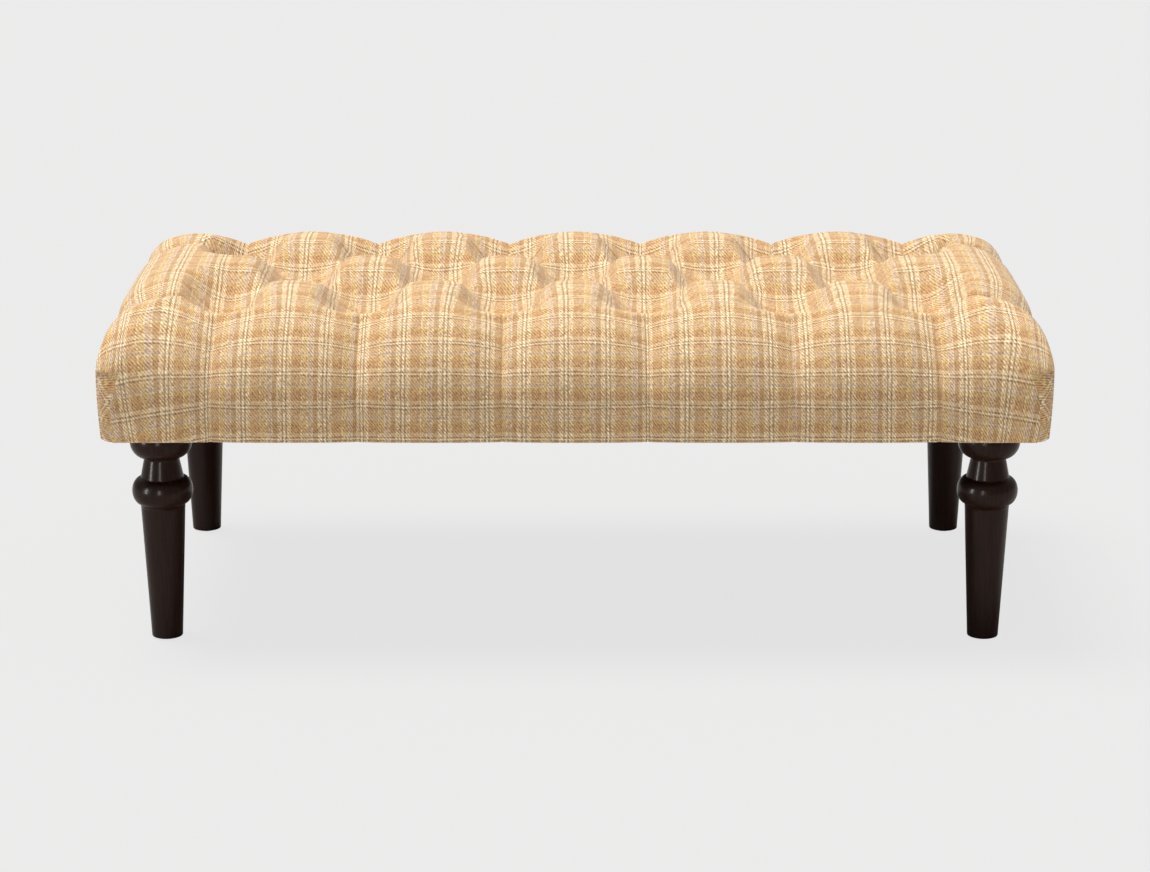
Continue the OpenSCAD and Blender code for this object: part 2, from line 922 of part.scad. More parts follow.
// The thin cloth under the frame, stretched over the hem
module dust_cover() {
    hx = seat_l / 2 - dust_in;
    hy = seat_d / 2 - dust_in;
    color([0.12, 0.12, 0.12])
        translate([0, 0, leg_top_z])
            difference() {
                linear_extrude(dust_t)
                    square([2 * hx, 2 * hy], center = true);
                at_corners(leg_x, leg_y, -cut)
                    cylinder(h = dust_t + 2 * cut, r = bolt_d / 2 + dust_hole_gap, $fn = hole_sides);
            }
}

tufted_cover();
fibre_batting();
foam_pad();
covered_buttons();
button_backs();
button_twines();
twine_washers();
deck_panel();
deck_screws();
front_rail();
back_rail();
left_rail();
right_rail();
left_stretcher();
right_stretcher();
rail_dowels();
stretcher_dowels();
front_left_corner_block();
front_right_corner_block();
back_left_corner_block();
back_right_corner_block();
corner_block_screws();
front_left_leg_plate();
front_right_leg_plate();
back_left_leg_plate();
back_right_leg_plate();
leg_plate_screws();
hanger_bolts();
front_left_leg();
front_right_leg();
back_left_leg();
back_right_leg();
front_left_glide();
front_right_glide();
back_left_glide();
back_right_glide();
dust_cover();
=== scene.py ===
import json
import math

import bpy
import numpy as np
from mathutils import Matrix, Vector


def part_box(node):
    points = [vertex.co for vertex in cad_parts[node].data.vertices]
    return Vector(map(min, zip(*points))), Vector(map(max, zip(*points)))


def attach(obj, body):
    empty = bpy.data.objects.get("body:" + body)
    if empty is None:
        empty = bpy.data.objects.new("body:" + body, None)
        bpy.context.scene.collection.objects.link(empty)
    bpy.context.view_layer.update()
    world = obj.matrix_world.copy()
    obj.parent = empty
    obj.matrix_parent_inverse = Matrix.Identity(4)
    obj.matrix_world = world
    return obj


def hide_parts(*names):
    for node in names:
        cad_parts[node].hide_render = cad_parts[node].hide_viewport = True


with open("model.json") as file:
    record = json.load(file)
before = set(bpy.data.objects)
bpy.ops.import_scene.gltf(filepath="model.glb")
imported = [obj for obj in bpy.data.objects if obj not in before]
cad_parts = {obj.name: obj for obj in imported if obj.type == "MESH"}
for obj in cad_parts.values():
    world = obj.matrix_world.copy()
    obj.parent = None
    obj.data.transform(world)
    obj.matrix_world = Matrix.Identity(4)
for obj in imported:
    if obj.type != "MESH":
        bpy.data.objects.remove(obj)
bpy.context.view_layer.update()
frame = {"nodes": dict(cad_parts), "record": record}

MM = 0.001


def srgb(red, green, blue):
    """A linear colour from 0 to 255 sRGB values."""
    return tuple(((c / 255 + 0.055) / 1.055) ** 2.4 if c > 10 else c / 255 / 12.92
                 for c in (red, green, blue)) + (1.0,)


# Seat: the places come from the CAD frame, the rest are its own sizes
BUTTON_R = 12 * MM
BULGE = 8 * MM
CREST_UP = 173 * MM
cover_low, cover_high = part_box("tufted_cover")
buttons_low, buttons_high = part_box("covered_buttons")
HALF_L = cover_high.x - BULGE
HALF_D = cover_high.y - BULGE
HEM_Z = cover_low.z
CREST_Z = HEM_Z + CREST_UP
TUFT_X = buttons_high.x - BUTTON_R
TUFT_Y = buttons_high.y - BUTTON_R
HALF_PITCH = TUFT_X / 5

# Tufts along a row, counted in half pitches from its middle
OUTER_ROW, MIDDLE_ROW = range(-5, 6, 2), range(-4, 5, 2)

# Tufting: each pit is a long bowl with a dimple round its button
BOWL_DEPTH = 52 * MM
BOWL_HALF_W = 62 * MM
BOWL_SHAPE = 2.4
BOWL_TAIL_W = 92 * MM
BOWL_TAIL_SHARE = 0.15
BOWL_HALF_L = 140 * MM
BOWL_OUT = 81 * MM
BOWL_OUT_MORE = 1.25
BOWL_OUT_HALF_L = 100 * MM
ALONG_SHAPE = 2.6
ALONG_POWER = 2.3
DIMPLE_DEPTH = 14 * MM
DIMPLE_R = 30 * MM
DIAGONAL_DEPTH = 18 * MM
CREASE_REACH = 54 * MM
CREASE_ROUND = 6 * MM
DEPTH_SPREAD = 0.1

# Profile of the seat's side: a long soft shoulder at the front and back, a tighter one at the
# ends. Each is a quarter of an ellipse of this width and height.
FRONT_SHOULDER = (154.5 * MM, 126 * MM)
END_SHOULDER = (84 * MM, 72 * MM)
HEM_R = 5 * MM
HEM_W = 34 * MM
HEM_STEPS = (HEM_W / 3, HEM_W * 0.66, HEM_W)
HEM_SWELL = 4 * MM
BOTTOM_FAN = 1.007

# Upright corners: their radius at shares of the length down the side
CREST_CORNER_R = 4 * MM
CORNER_R_AT = [0, 0.3, 0.6, 0.8, 1]
CORNER_R = [CREST_CORNER_R, 34 * MM, 34 * MM, 21 * MM, 14 * MM]

# Corner lobes: they lie a little lower, and turn from the front's profile to the end's
CORNER_FALL = 3 * MM
CORNER_FALL_POWER = 0.7
TURN_FROM, TURN_SPAN = 0.2, 0.6

# Side pleats: distance down from the tuft, and the pleat's depth there
PLEAT_DOWN = np.array([0, 61, 87, 109, 140, 218, 290]) * MM
PLEAT_DEPTH = np.array([0, 9, 19, 20, 19, 8, 2.4]) * MM
PLEAT_REACH = 90 * MM
PLEAT_POWER = 2.6
PLEAT_ROUND = 3 * MM
SLIT_DEPTH = 2 * MM
SLIT_W = 2.2 * MM

# Where the soft valley down from a tuft starts to close to a sharp pleat
PLEAT_FROM = 55 * MM
BACK_PLEAT_FROM = 0
END_PLEAT_FROM = -40 * MM
PLEAT_EASE = 60 * MM

# Corner folds: a strip of the cloth laid on the bias, set back behind the front's and the end's
FOLD_TOP_Z = HEM_Z + 90 * MM
FOLD_TURN_Z = HEM_Z + 55 * MM
FOLD_EASE = 30 * MM
FOLD_SHARES = (0.37, 0.63)
FOLD_STEP = 2.4 * MM

# Cloth on the corner lobes: how it drops, leans out and is taken up with the distance outward
CORNER_DROP, DROP_REACH = 0.19, 60 * MM
CORNER_LEAN, LEAN_FROM, LEAN_REACH = 0.19, 50 * MM, 70 * MM
CORNER_TAKE, CORNER_TAKE_MORE = 0.075, 0.05
CORNER_BLEND = 0.45
FAN_FROM, FAN_REACH = 60 * MM, 70 * MM

# Cloth: the plaid's repeats, and the cloth that the folds take up
REPEAT_U = 53.2 * MM
REPEAT_V = 43.0 * MM
FIRST_U = -11.2 * MM
FIRST_V = 8.6 * MM
HIDDEN_CLOTH = 6.6 * MM
PLEAT_HALF_W = 12 * MM
OUTER_CLOTH, OUTER_FROM, OUTER_REACH = 5 * MM, 250 * MM, 200 * MM
HEM_CLOTH = 10 * MM
BUTTON_CLOTH = 10 * MM
ROW_CLOTH = 163 * MM
ROW_SHARES = ([0, 0.42, 0.76, 1], [0, 0.466, 0.73, 1])

# Mesh: half pitches along the top and rows across it, cells in each, and rings down the side
ALONG, ACROSS = 10, 2
CELLS = 40
CELL_EASE = 0.5
FLAT_RINGS = 24
SHOULDER_RINGS = 52
SIDE_RINGS = 20
HEM_RINGS = 5
CORNER_STRAIGHT = 34
CORNER_ARC = 24
CORNER_COLUMNS = 2 * CORNER_STRAIGHT + CORNER_ARC - 1

# Soft layers under the cover, as depths below its outside
INSIDE_CELLS = 16
PIT_MORE = 7 * MM
BATTING_IN = 3.6 * MM
BATTING_T = 6.2 * MM
FOAM_IN = 10.6 * MM
DECK_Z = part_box("deck_panel")[1].z
FOAM_EDGE = 8 * MM
FOAM_HALF_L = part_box("foam_pad")[1].x - FOAM_EDGE
FOAM_HALF_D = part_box("foam_pad")[1].y - FOAM_EDGE

# Buttons: how high the rim and the tuck under it lie, as shares of the height, and small details
BUTTON_RINGS, BUTTON_SEGMENTS = 9, 40
BUTTON_RIM, BUTTON_TUCK = 0.28, 0.2
BUTTON_BASE_R = BUTTON_R * 0.86
BUTTON_CROWN_R = 0.05 * MM
BUTTON_PUCKER = 0.02

# Dust cover: the slack grows from its edge; each wave has its pace along x and y
DUST_CELLS = (120, 60)
DUST_DROP, DUST_SLACK, DUST_EDGE = 0.3 * MM, 0.25 * MM, 40 * MM
DUST_WAVES = ((37, 21), (-11, 43))

# Legs
LEG_X, LEG_Y = 536 * MM, 241 * MM
LEG_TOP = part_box("front_left_leg")[1].z
GLIDE_T = 2 * MM
FOOT_ROUND, FOOT_ROUND_MID = 1.3 * MM, 0.4 * MM
FOOT_R, TAPER_R, RING_R, RING_TOP_R, WAIST_R, HEAD_R = (
    r * MM for r in (20.2, 29, 39.4, 28, 22.4, 40.5))
RING_H, RING_TOP_DROP, WAIST_DROP, HEAD_HALF_H, HEAD_DROP = (
    h * MM for h in (34, 63, 35.5, 22, 13))
TAPER_STEPS = np.linspace(0.02, 0.995, 30)
ROUND_STEPS = np.linspace(0, 1, 25)
WAIST_STEPS = np.linspace(0.08, 0.92, 8)
LEG_SEGMENTS = 96

# Colours of the yarns along one repeat of the plaid, as (share where it starts, colour)
CREAM = srgb(240, 224, 193)
PALE = srgb(225, 201, 167)
TAN = srgb(208, 178, 142)
ORANGE = srgb(190, 150, 108)
OCHRE = srgb(204, 173, 122)
LAVENDER = srgb(197, 173, 154)
BROWN = srgb(154, 120, 92)
DARK_TAN = srgb(174, 138, 102)
WARP = [(0, CREAM), (0.026, BROWN), (0.066, PALE), (0.17, ORANGE), (0.41, PALE), (0.43, OCHRE),
        (0.555, PALE), (0.58, LAVENDER), (0.685, PALE), (0.705, DARK_TAN), (0.825, PALE),
        (0.932, BROWN), (0.972, CREAM)]
WEFT = [(0, CREAM), (0.025, BROWN), (0.08, TAN), (0.27, PALE), (0.29, LAVENDER), (0.38, PALE),
        (0.405, OCHRE), (0.535, ORANGE), (0.8, PALE), (0.92, BROWN), (0.97, CREAM)]
YARN_EDGE = 0.008

# Weave: a twill and a streaky grain along it, by which warp and weft come to the top
TWILL_PITCH = 4.0 * MM
TWILL_SLANT = 0.75
TWILL_WAVER = 0.25
TWILL_STOPS = [(0.0, 0), (0.1, 1), (0.5, 1), (0.6, 0)]
GRAIN_ACROSS, GRAIN_ALONG = 340.0, 190.0
GRAIN_GAIN, GRAIN_SHIFT = 2.4, -0.7
TWILL_SHARE, GRAIN_SHARE = 0.3, 0.7
WEFT_GAIN, WEFT_LEAST = 0.7, 0.15
# Painted highlight on the raised ribs of the twill, and painted shade in the sunken gaps between
# them, as tints
PAINTED_RIB_HIGHLIGHT, PAINTED_GAP_SHADE = (1.43, 1.45, 1.4, 1), (0.48, 0.445, 0.39, 1)
YARN_FINE, YARN_LONG = 850.0, 40.0
YARN_DARK, YARN_LIGHT = 0.84, 1.12
WOBBLE_SCALE, WOBBLE = 25.0, 2 * MM
BLOTCH_SCALE = 60.0
BLOTCH_DARK, BLOTCH_LIGHT = (0.93, 0.92, 0.91, 1), (1.06, 1.06, 1.06, 1)
WEAVE_RELIEF, WEAVE_HEIGHT = 0.35, 0.6 * MM
RIB_SHARE = 0.5

# Wood and plain materials: the noise's scale across and along the grain, and the relief
WOOD_ACROSS, WOOD_ALONG = 220.0, 9.0
LEG_GRAIN = (260.0, 260.0, 9.0)
WOOD_RELIEF, WOOD_HEIGHT = 0.15, 0.5 * MM
SPECK_HEIGHT = 0.3 * MM

# Floor and lights; the softboxes as (turn from the front towards the left, power)
FLOOR_HALF = 40
FLOOR_COLOR = srgb(206, 206, 206)
BACKDROP_COLOR = srgb(233, 233, 233)
BACKDROP_SHARE = 0.92
WORLD_LIGHT = 0.43
SUN_POWER = 4.3
SUN_SPREAD = math.radians(30)
SUN_COLOR = (1, 0.98, 0.95)
SUN_TOWARDS = (0.28, -0.15, -1)
SOFTBOXES = [(math.radians(60), 95.0), (math.radians(14), 42.0)]
SOFTBOX_W, SOFTBOX_H, SOFTBOX_AWAY, SOFTBOX_Z = 0.5, 1.6, 3.6, 0.95

# Camera, fitted to the photograph
CAMERA_PLACE = (0, -4.358, 1.410)
CAMERA_TILT = math.radians(74.56)
CAMERA_LENS = 103.3

random = np.random.default_rng(7)


def new_object(name, data, material=None):
    piece = bpy.data.objects.new(name, data)
    bpy.context.scene.collection.objects.link(piece)
    if material:
        data.materials.append(material)
    return piece


def mesh_from(name, points, faces, uv=None):
    """A smooth mesh from an array of points and a list of faces; uv has a pair for every corner."""
    mesh = bpy.data.meshes.new(name)
    mesh.from_pydata(points.tolist(), [], faces)
    if uv is not None:
        layer = mesh.uv_layers.new(name="Cloth")
        layer.data.foreach_set("uv", uv.astype(np.float32).ravel())
    mesh.polygons.foreach_set("use_smooth", np.ones(len(mesh.polygons), bool))
    mesh.update()
    return mesh


def smooth_step(share):
    share = np.clip(share, 0, 1)
    return share * share * (3 - 2 * share)


def falloff(share, shape, power):
    """1 where the share is 0, down to 0 where it is 1 or more."""
    return np.clip(1 - share ** shape, 0, None) ** power


def rounded(distance, radius):
    """A distance with its sharp turn at 0 rounded off."""
    return np.hypot(distance, radius) - radius


# The tufted top

def tuft_rows():
    """The tufts, each as (x, y)."""
    return [(i * HALF_PITCH, row * TUFT_Y)
            for row in (-1, 0, 1)
            for i in (MIDDLE_ROW if row == 0 else OUTER_ROW)]


def crease_lines():
    """Pairs of neighbouring tufts, one row apart, with the depth of the crease between them."""
    tufts = tuft_rows()
    lines = []
    for a in tufts:
        for b in tufts:
            across, up = b[0] - a[0], b[1] - a[1]
            spread = 1 + DEPTH_SPREAD * random.uniform(-1, 1)
            if abs(up - TUFT_Y) < MM and abs(abs(across) - HALF_PITCH) < MM:
                lines.append((a, b, DIAGONAL_DEPTH * spread))
    return lines


CREASES = crease_lines()


def bowl(across, along):
    """Share of a pit's depth, for a distance across it and a share of its half length."""
    hollow = falloff(across / BOWL_HALF_W, BOWL_SHAPE, 2)
    tail = falloff(across / BOWL_TAIL_W, 2, 2)
    sides = (1 - BOWL_TAIL_SHARE) * hollow + BOWL_TAIL_SHARE * tail
    return sides * falloff(along, ALONG_SHAPE, ALONG_POWER)


def dimple(across, along):
    return DIMPLE_DEPTH * falloff(np.hypot(across, along) / DIMPLE_R, 1, 2)


def pit(across, along):
    """Depth of a tuft's pit in the top: a long bowl with a dimple in it."""
    across = np.abs(across)
    along = np.abs(along)
    return BOWL_DEPTH * bowl(across, along / BOWL_HALF_L) + dimple(across, along)


def crease(x, y, a, b, depth):
    """Depth of the soft crease from tuft a to tuft b."""
    along = np.array([b[0] - a[0], b[1] - a[1]])
    t = np.clip(((x - a[0]) * along[0] + (y - a[1]) * along[1]) / (along @ along), 0, 1)
    away = np.hypot(x - a[0] - t * along[0], y - a[1] - t * along[1])
    return depth * falloff(rounded(away, CREASE_ROUND) / CREASE_REACH, 1, 2)


def top_depth(x, y):
    """How far the tufted top lies below its crest; the creases run out in the pits."""
    tuft = np.zeros_like(x)
    valley = np.zeros_like(x)
    for tx, ty in tuft_rows():
        tuft = np.maximum(tuft, pit(x - tx, y - ty))
    for a, b, depth in CREASES:
        valley = np.maximum(valley, crease(x, y, a, b, depth))
    return valley + (1 - valley / BOWL_DEPTH) * tuft


def layer_depth(pressed, depth):
    """How far in a layer at this depth lies: it is pressed in a little more in the pits."""
    if depth == 0:
        return pressed
    return pressed + depth + PIT_MORE * np.clip(pressed / BOWL_DEPTH, 0, 1)


def eased(n):
    """n + 1 steps from 0 to 1, closer together at both ends."""
    t = np.arange(n + 1) / n
    return t - CELL_EASE * np.sin(2 * np.pi * t) / (2 * np.pi)


def repeated(steps, count):
    """Steps from 0 to 1 repeated end to end, from -count / 2 to count / 2."""
    parts = [steps[:-1] + k for k in range(count)]
    return np.concatenate(parts + [np.array([float(count)])]) - count / 2


# Columns and rings of the side. The columns run anticlockwise through eight stretches: front,
# corner, right end, corner, back, corner, left end, corner.

def half_profile(width, height):
    """A side from the crest ring down: distance in from the hem, height, tilt and length down."""
    swell_z = CREST_Z - height
    turn = np.linspace(math.pi / 2, 0, SHOULDER_RINGS + 1)
    shoulder = np.stack([width - BULGE - width * np.cos(turn),
                         swell_z + height * np.sin(turn),
                         np.arctan2(np.cos(turn) / width, np.sin(turn) / height)], 1)
    z = np.linspace(swell_z, HEM_Z + HEM_R, SIDE_RINGS + 1)[1:]
    share = (swell_z - z) / (swell_z - HEM_Z)
    side = np.stack([HEM_SWELL * share ** 2 - BULGE, z, np.full_like(z, math.pi / 2)], 1)
    turn = np.linspace(0, math.pi / 2, HEM_RINGS + 1)[1:]
    hem = np.stack([side[-1, 0] + HEM_R * (1 - np.cos(turn)),
                    HEM_Z + HEM_R * (1 - np.sin(turn)),
                    np.full_like(turn, math.pi / 2)], 1)
    rows = np.concatenate([shoulder, side, hem])
    steps = np.hypot(np.diff(rows[:, 0]), np.diff(rows[:, 1]))
    return rows, np.concatenate([[0], np.cumsum(steps)])


def corner_columns(hx, hy, radius, fan):
    """A quarter's corner, from the front pleat round to the end pleat, for x and y above 0."""
    t = np.arange(1, CORNER_STRAIGHT + 1) / CORNER_STRAIGHT
    start_x, start_y = TUFT_X * fan, TUFT_Y * fan
    first = np.stack([start_x + (hx - radius - start_x) * t, np.full_like(t, hy)], 1)
    turn = np.linspace(0, math.pi / 2, CORNER_ARC + 1)[1:]
    arc = np.stack([hx - radius + radius * np.sin(turn), hy - radius + radius * np.cos(turn)], 1)
    t = t[:-1]
    last = np.stack([np.full_like(t, hx), hy - radius + (start_y - hy + radius) * t], 1)
    return np.concatenate([first, arc, last])


def ring_plan(hx, hy, radius, fan, xs, ys):
    """All columns of one ring of half sizes hx and hy, from the front left pleat."""
    corner = corner_columns(hx, hy, radius, fan)
    front = np.stack([xs * fan, np.full_like(xs, -hy)], 1)
    right = np.stack([np.full_like(ys, hx), ys * fan], 1)
    return np.concatenate([
        front, corner * [1, -1],
        right, corner[::-1],
        -front, corner * [-1, 1],
        -right, corner[::-1] * [-1, -1]])


def column_kinds(xs, ys):
    """For each column: its stretch (0 to 7) and its share of the way round a corner."""
    n = CORNER_COLUMNS
    corner = np.arange(1, n + 1) / (n + 1)
    stretch = np.concatenate([np.full(m, k) for k, m in enumerate([len(xs), n, len(ys), n] * 2)])
    share = np.concatenate([np.zeros(len(xs)), corner, np.zeros(len(ys)), 1 - corner] * 2)
    return stretch, share


def anchor_plan(xs, ys):
    """The point of the top's edge that each column starts from."""
    n = CORNER_COLUMNS
    front = np.stack([xs, np.full_like(xs, -TUFT_Y)], 1)
    right = np.stack([np.full_like(ys, TUFT_X), ys], 1)
    return np.concatenate([
        front, np.tile([TUFT_X, -TUFT_Y], (n, 1)), right, np.tile([TUFT_X, TUFT_Y], (n, 1)),
        -front, np.tile([-TUFT_X, TUFT_Y], (n, 1)), -right, np.tile([-TUFT_X, -TUFT_Y], (n, 1))])


def ring_distance(plan, marks):
    """Distance along a closed ring from each column to the nearest marked one."""
    steps = np.hypot(*(np.roll(plan, -1, 0) - plan).T)
    at = np.concatenate([[0], np.cumsum(steps)])
    total, at = at[-1], at[:-1]
    away = np.abs(at[:, None] - at[None, marks])
    return np.minimum(away, total - away).min(1)


def outward(plan):
    """Level unit vectors square to a ring."""
    tangent = np.roll(plan, -1, 0) - np.roll(plan, 1, 0)
    tangent /= np.maximum(np.hypot(*tangent.T)[:, None], 1e-9)
    return np.stack([tangent[:, 1], -tangent[:, 0]], 1)


class Side:
    """The rings between the tufted top and the hem: one row of arrays for each ring."""

    def __init__(self, xs, ys):
        self.stretch, self.corner = column_kinds(xs, ys)
        self.anchor = anchor_plan(xs, ys)
        self.in_corner = self.stretch % 2 == 1
        self.on_end = self.stretch % 4 == 2
        self.in_fold = (self.in_corner & (self.corner > FOLD_SHARES[0])
                        & (self.corner < FOLD_SHARES[1]))
        self.turn = np.where(self.on_end, 1, self.corner)
        self.endwise = smooth_step((self.turn - TURN_FROM) / TURN_SPAN)
        on_back = np.isin(self.stretch, (3, 4, 5))
        self.pleat_from = self.mixed(np.where(on_back, BACK_PLEAT_FROM, PLEAT_FROM), END_PLEAT_FROM)
        self.plans, self.heights, self.tilts, self.downs, self.pleats = [], [], [], [], []
        self.lay_out(xs, ys)

    def mixed(self, front, end):
        """The front's value on the front and back, the end's on the ends, and between them."""
        return front + (end - front) * self.endwise

    def pleat_columns(self):
        """Columns that run down from a tuft."""
        multiple = np.abs(self.anchor[:, 0]) / HALF_PITCH
        on_tuft = np.abs(multiple - np.round(multiple)) < 1e-6
        odd = np.round(multiple) % 2 == 1
        front = (self.stretch % 4 == 0) & on_tuft & odd
        end = self.on_end & (np.abs(np.abs(self.anchor[:, 1]) - TUFT_Y) < 1e-6)
        return np.flatnonzero(front | end)

    def lay_out(self, xs, ys):
        """Rings level out to the crest, then down the profiles of the front and the ends."""
        marks = self.pleat_columns()
        front, front_down = half_profile(*FRONT_SHOULDER)
        end, end_down = half_profile(*END_SHOULDER)
        crest = ring_plan(HALF_L - end[0, 0], HALF_D - front[0, 0], CREST_CORNER_R, 1, xs, ys)
        reach = crest - self.anchor
        flat = np.hypot(*reach.T)
        for t in np.arange(1, FLAT_RINGS) / FLAT_RINGS:
            self.add(self.anchor + reach * t, CREST_Z, 0, flat * t, marks)
        for k, (length, end_length) in enumerate(zip(front_down, end_down)):
            share = length / front_down[-1]
            fan = 1 + (BOTTOM_FAN - 1) * share
            radius = np.interp(share, CORNER_R_AT, CORNER_R)
            plan = ring_plan(HALF_L - end[k, 0], HALF_D - front[k, 0], radius, fan, xs, ys)
            self.add(plan, self.mixed(front[k, 1], end[k, 1]), self.mixed(front[k, 2], end[k, 2]),
                     flat + self.mixed(length, end_length), marks)
        self.total = flat + self.mixed(front_down[-1], end_down[-1])
        self.front_total = np.median(self.total[self.stretch == 0])

    def add(self, plan, z, tilt, down, marks):
        self.plans.append(plan)
        self.heights.append(np.broadcast_to(z, len(plan)))
        self.tilts.append(np.broadcast_to(tilt, len(plan)))
        self.downs.append(down)
        self.pleats.append(ring_distance(plan, marks))

    def points(self, depth=0):
        """The points of every ring, pressed in by pleats, pits and folds."""
        rings = []
        for plan, z, tilt, down, away in zip(self.plans, self.heights, self.tilts, self.downs,
                                             self.pleats):
            pressed = self.press(down, away) + FOLD_STEP * (z < FOLD_TOP_Z) * self.in_fold
            inset = layer_depth(pressed, depth)
            rings.append(np.concatenate([
                plan - outward(plan) * (inset * np.sin(tilt))[:, None],
                (z - inset * np.cos(tilt) - self.fall(down))[:, None]], 1))
        return np.stack(rings)

    def press(self, down, away):
        """How far the surface is pressed in, at a length down and a distance from a pleat."""
        depth = np.interp(down, PLEAT_DOWN, PLEAT_DEPTH)
        wider = np.interp(down, [0, PLEAT_DOWN[1]], [1, BOWL_OUT_MORE])
        half_l = np.interp(down, [0, BOWL_OUT], [BOWL_HALF_L, BOWL_OUT_HALF_L])
        tuft = self.mixed(bowl(away / wider, down / BOWL_OUT), bowl(down, away / half_l))
        soft = bowl(away / wider, 0)
        sharp = falloff(rounded(away, PLEAT_ROUND) / PLEAT_REACH, 1, PLEAT_POWER)
        share = np.clip((down - self.pleat_from) / PLEAT_EASE, 0, 1)
        slit = SLIT_DEPTH * np.exp(-(away / SLIT_W) ** 2) * share
        return (BOWL_DEPTH * tuft + dimple(away, down)
                + depth * (soft + (sharp - soft) * share) + slit)

    def fall(self, down):
        """How far a corner lobe lies below the others."""
        middle = np.sin(np.pi * self.corner) ** CORNER_FALL_POWER
        window = (np.clip(down / PLEAT_DOWN[1], 0, 1)
                  * np.clip((PLEAT_DOWN[-2] - down) / PLEAT_DOWN[2], 0, 1))
        return CORNER_FALL * middle * window


class Surface:
    """The tufted surface: the top's grid of points, then the rings of the side."""

    def __init__(self, cells, depth=0):
        self.cells = cells
        xs = repeated(eased(cells), ALONG) * HALF_PITCH
        ys = repeated(eased(cells), ACROSS) * TUFT_Y
        x, y = np.meshgrid(xs, ys)
        self.nx, self.ny = len(xs) - 1, len(ys) - 1
        self.grid = np.stack([x, y, CREST_Z - layer_depth(top_depth(x, y), depth)], 2)
        self.side = Side(xs, ys)
        self.rings = self.side.points(depth)
        self.edge = self.edge_indices()

    def points(self):
        return np.concatenate([self.grid.reshape(-1, 3), self.rings.reshape(-1, 3)])

    def edge_indices(self):
        """The grid point that each column starts from."""
        w = self.nx + 1
        front = np.arange(w)
        right = self.nx + w * np.arange(self.ny + 1)
        back = self.ny * w + np.arange(w)[::-1]
        left = w * np.arange(self.ny + 1)[::-1]
        stretches = []
        for edge in (front, right, back, left):
            stretches += [edge, np.full(CORNER_COLUMNS, edge[-1])]
        return np.concatenate(stretches)

    def top_faces(self):
        """Two triangles for each cell, split along the creases."""
        faces = []
        for j in range(self.ny):
            for i in range(self.nx):
                a = j * (self.nx + 1) + i
                b, d = a + 1, a + self.nx + 1
                c = d + 1
                rising = (i // self.cells + j // self.cells) % 2 == 0
                faces += [(a, b, c), (a, c, d)] if rising else [(a, b, d), (b, c, d)]
        return faces

    def ring_faces(self):
        """Quads between the rings, and triangles where they start from one point."""
        faces, places = [], []
        n = len(self.edge)
        upper = self.edge
        first = (self.nx + 1) * (self.ny + 1)
        for ring in range(len(self.rings)):
            lower = first + ring * n + np.arange(n)
            for q in range(n):
                r = (q + 1) % n
                a, b = int(upper[q]), int(upper[r])
                if a == b:
                    faces.append((a, int(lower[q]), int(lower[r])))
                else:
                    faces.append((a, int(lower[q]), int(lower[r]), b))
                places.append((ring, q))
            upper = lower
        return faces, places

    def cut(self, last):
        """The faces down to ring last, and the number of points that they use."""
        rings, places = self.ring_faces()
        faces = self.top_faces() + [f for f, (ring, _) in zip(rings, places) if ring <= last]
        return faces, (self.nx + 1) * (self.ny + 1) + (last + 1) * len(self.edge)


# The cloth's own coordinates, in metres of cloth

def bent(points, start, blocks, shares=([0, 1], [0, 1])):
    """Lengths along the rows of a grid of points, made to fit the cloth of each block."""
    steps = np.linalg.norm(np.diff(points, axis=1), axis=2)
    out = np.zeros(points.shape[:2])
    at = start
    for first, last, length in blocks:
        run = np.cumsum(steps[:, first:last], axis=1)
        out[:, first] = at
        out[:, first + 1:last + 1] = at + length * np.interp(run / run[:, -1:], *shares)
        at += length
    return out


def top_cloth(grid, cells):
    """u and v of the tufted top, from the lengths along its rows and columns."""
    pitch_cloth = HALF_PITCH + HIDDEN_CLOTH / 2
    blocks = [(k * cells, (k + 1) * cells, pitch_cloth) for k in range(ALONG)]
    u = bent(grid, -ALONG / 2 * pitch_cloth, blocks)
    rows = [(k * cells, (k + 1) * cells, ROW_CLOTH) for k in range(ACROSS)]
    v = bent(grid.transpose(1, 0, 2), 0, rows, ROW_SHARES).T
    return u, v


def pleated_u(x):
    """Cloth coordinate along the front and back, where each pleat takes up some cloth."""
    u = x.copy()
    for k in OUTER_ROW:
        t = np.clip((x - k * HALF_PITCH) / PLEAT_HALF_W, -1, 1)
        u += HIDDEN_CLOTH / 2 * np.sin(t * np.pi / 2)
    return u + np.sign(x) * OUTER_CLOTH * smooth_step((np.abs(x) - OUTER_FROM) / OUTER_REACH)


def front_cloth(side, top, plan, down):
    """A ring's cloth coordinates as on the front and the back, leaning out on the corner lobes."""
    sx, sy = np.sign(side.anchor).T
    u_top = top[:, 0]
    up = (side.total - down) / side.total * side.front_total
    out = np.abs(plan - side.anchor)[:, 0] * side.in_corner
    lean = smooth_step((out - LEAN_FROM) / LEAN_REACH)
    ease = np.clip(down / PLEAT_DOWN[2], 0, 1)
    taken = OUTER_CLOTH + out * (CORNER_TAKE + CORNER_TAKE_MORE * lean)
    u = np.where(side.in_corner, u_top + sx * (out + taken * ease - CORNER_LEAN * lean * up),
                 u_top + (pleated_u(side.anchor[:, 0]) - u_top) * ease)
    v = up + CORNER_DROP * smooth_step(down / DROP_REACH) * out
    return np.stack([np.where(side.on_end, u_top, u),
                     np.where(sy < 0, v, 2 * (side.front_total + ROW_CLOTH) - v)], 1)


def end_cloth(side, top, plan, down):
    """A ring's cloth coordinates as on the ends."""
    out = (plan[:, 1] - side.anchor[:, 1]) * side.in_corner
    return np.stack([top[:, 0] + np.sign(side.anchor[:, 0]) * down, top[:, 1] + out], 1)


def fan_cloth(side, top, plan, down):
    """A ring's cloth coordinates, fanned out from the corner tufts."""
    offset = plan - side.anchor
    return top + offset / np.maximum(np.hypot(*offset.T), 1e-6)[:, None] * down[:, None]


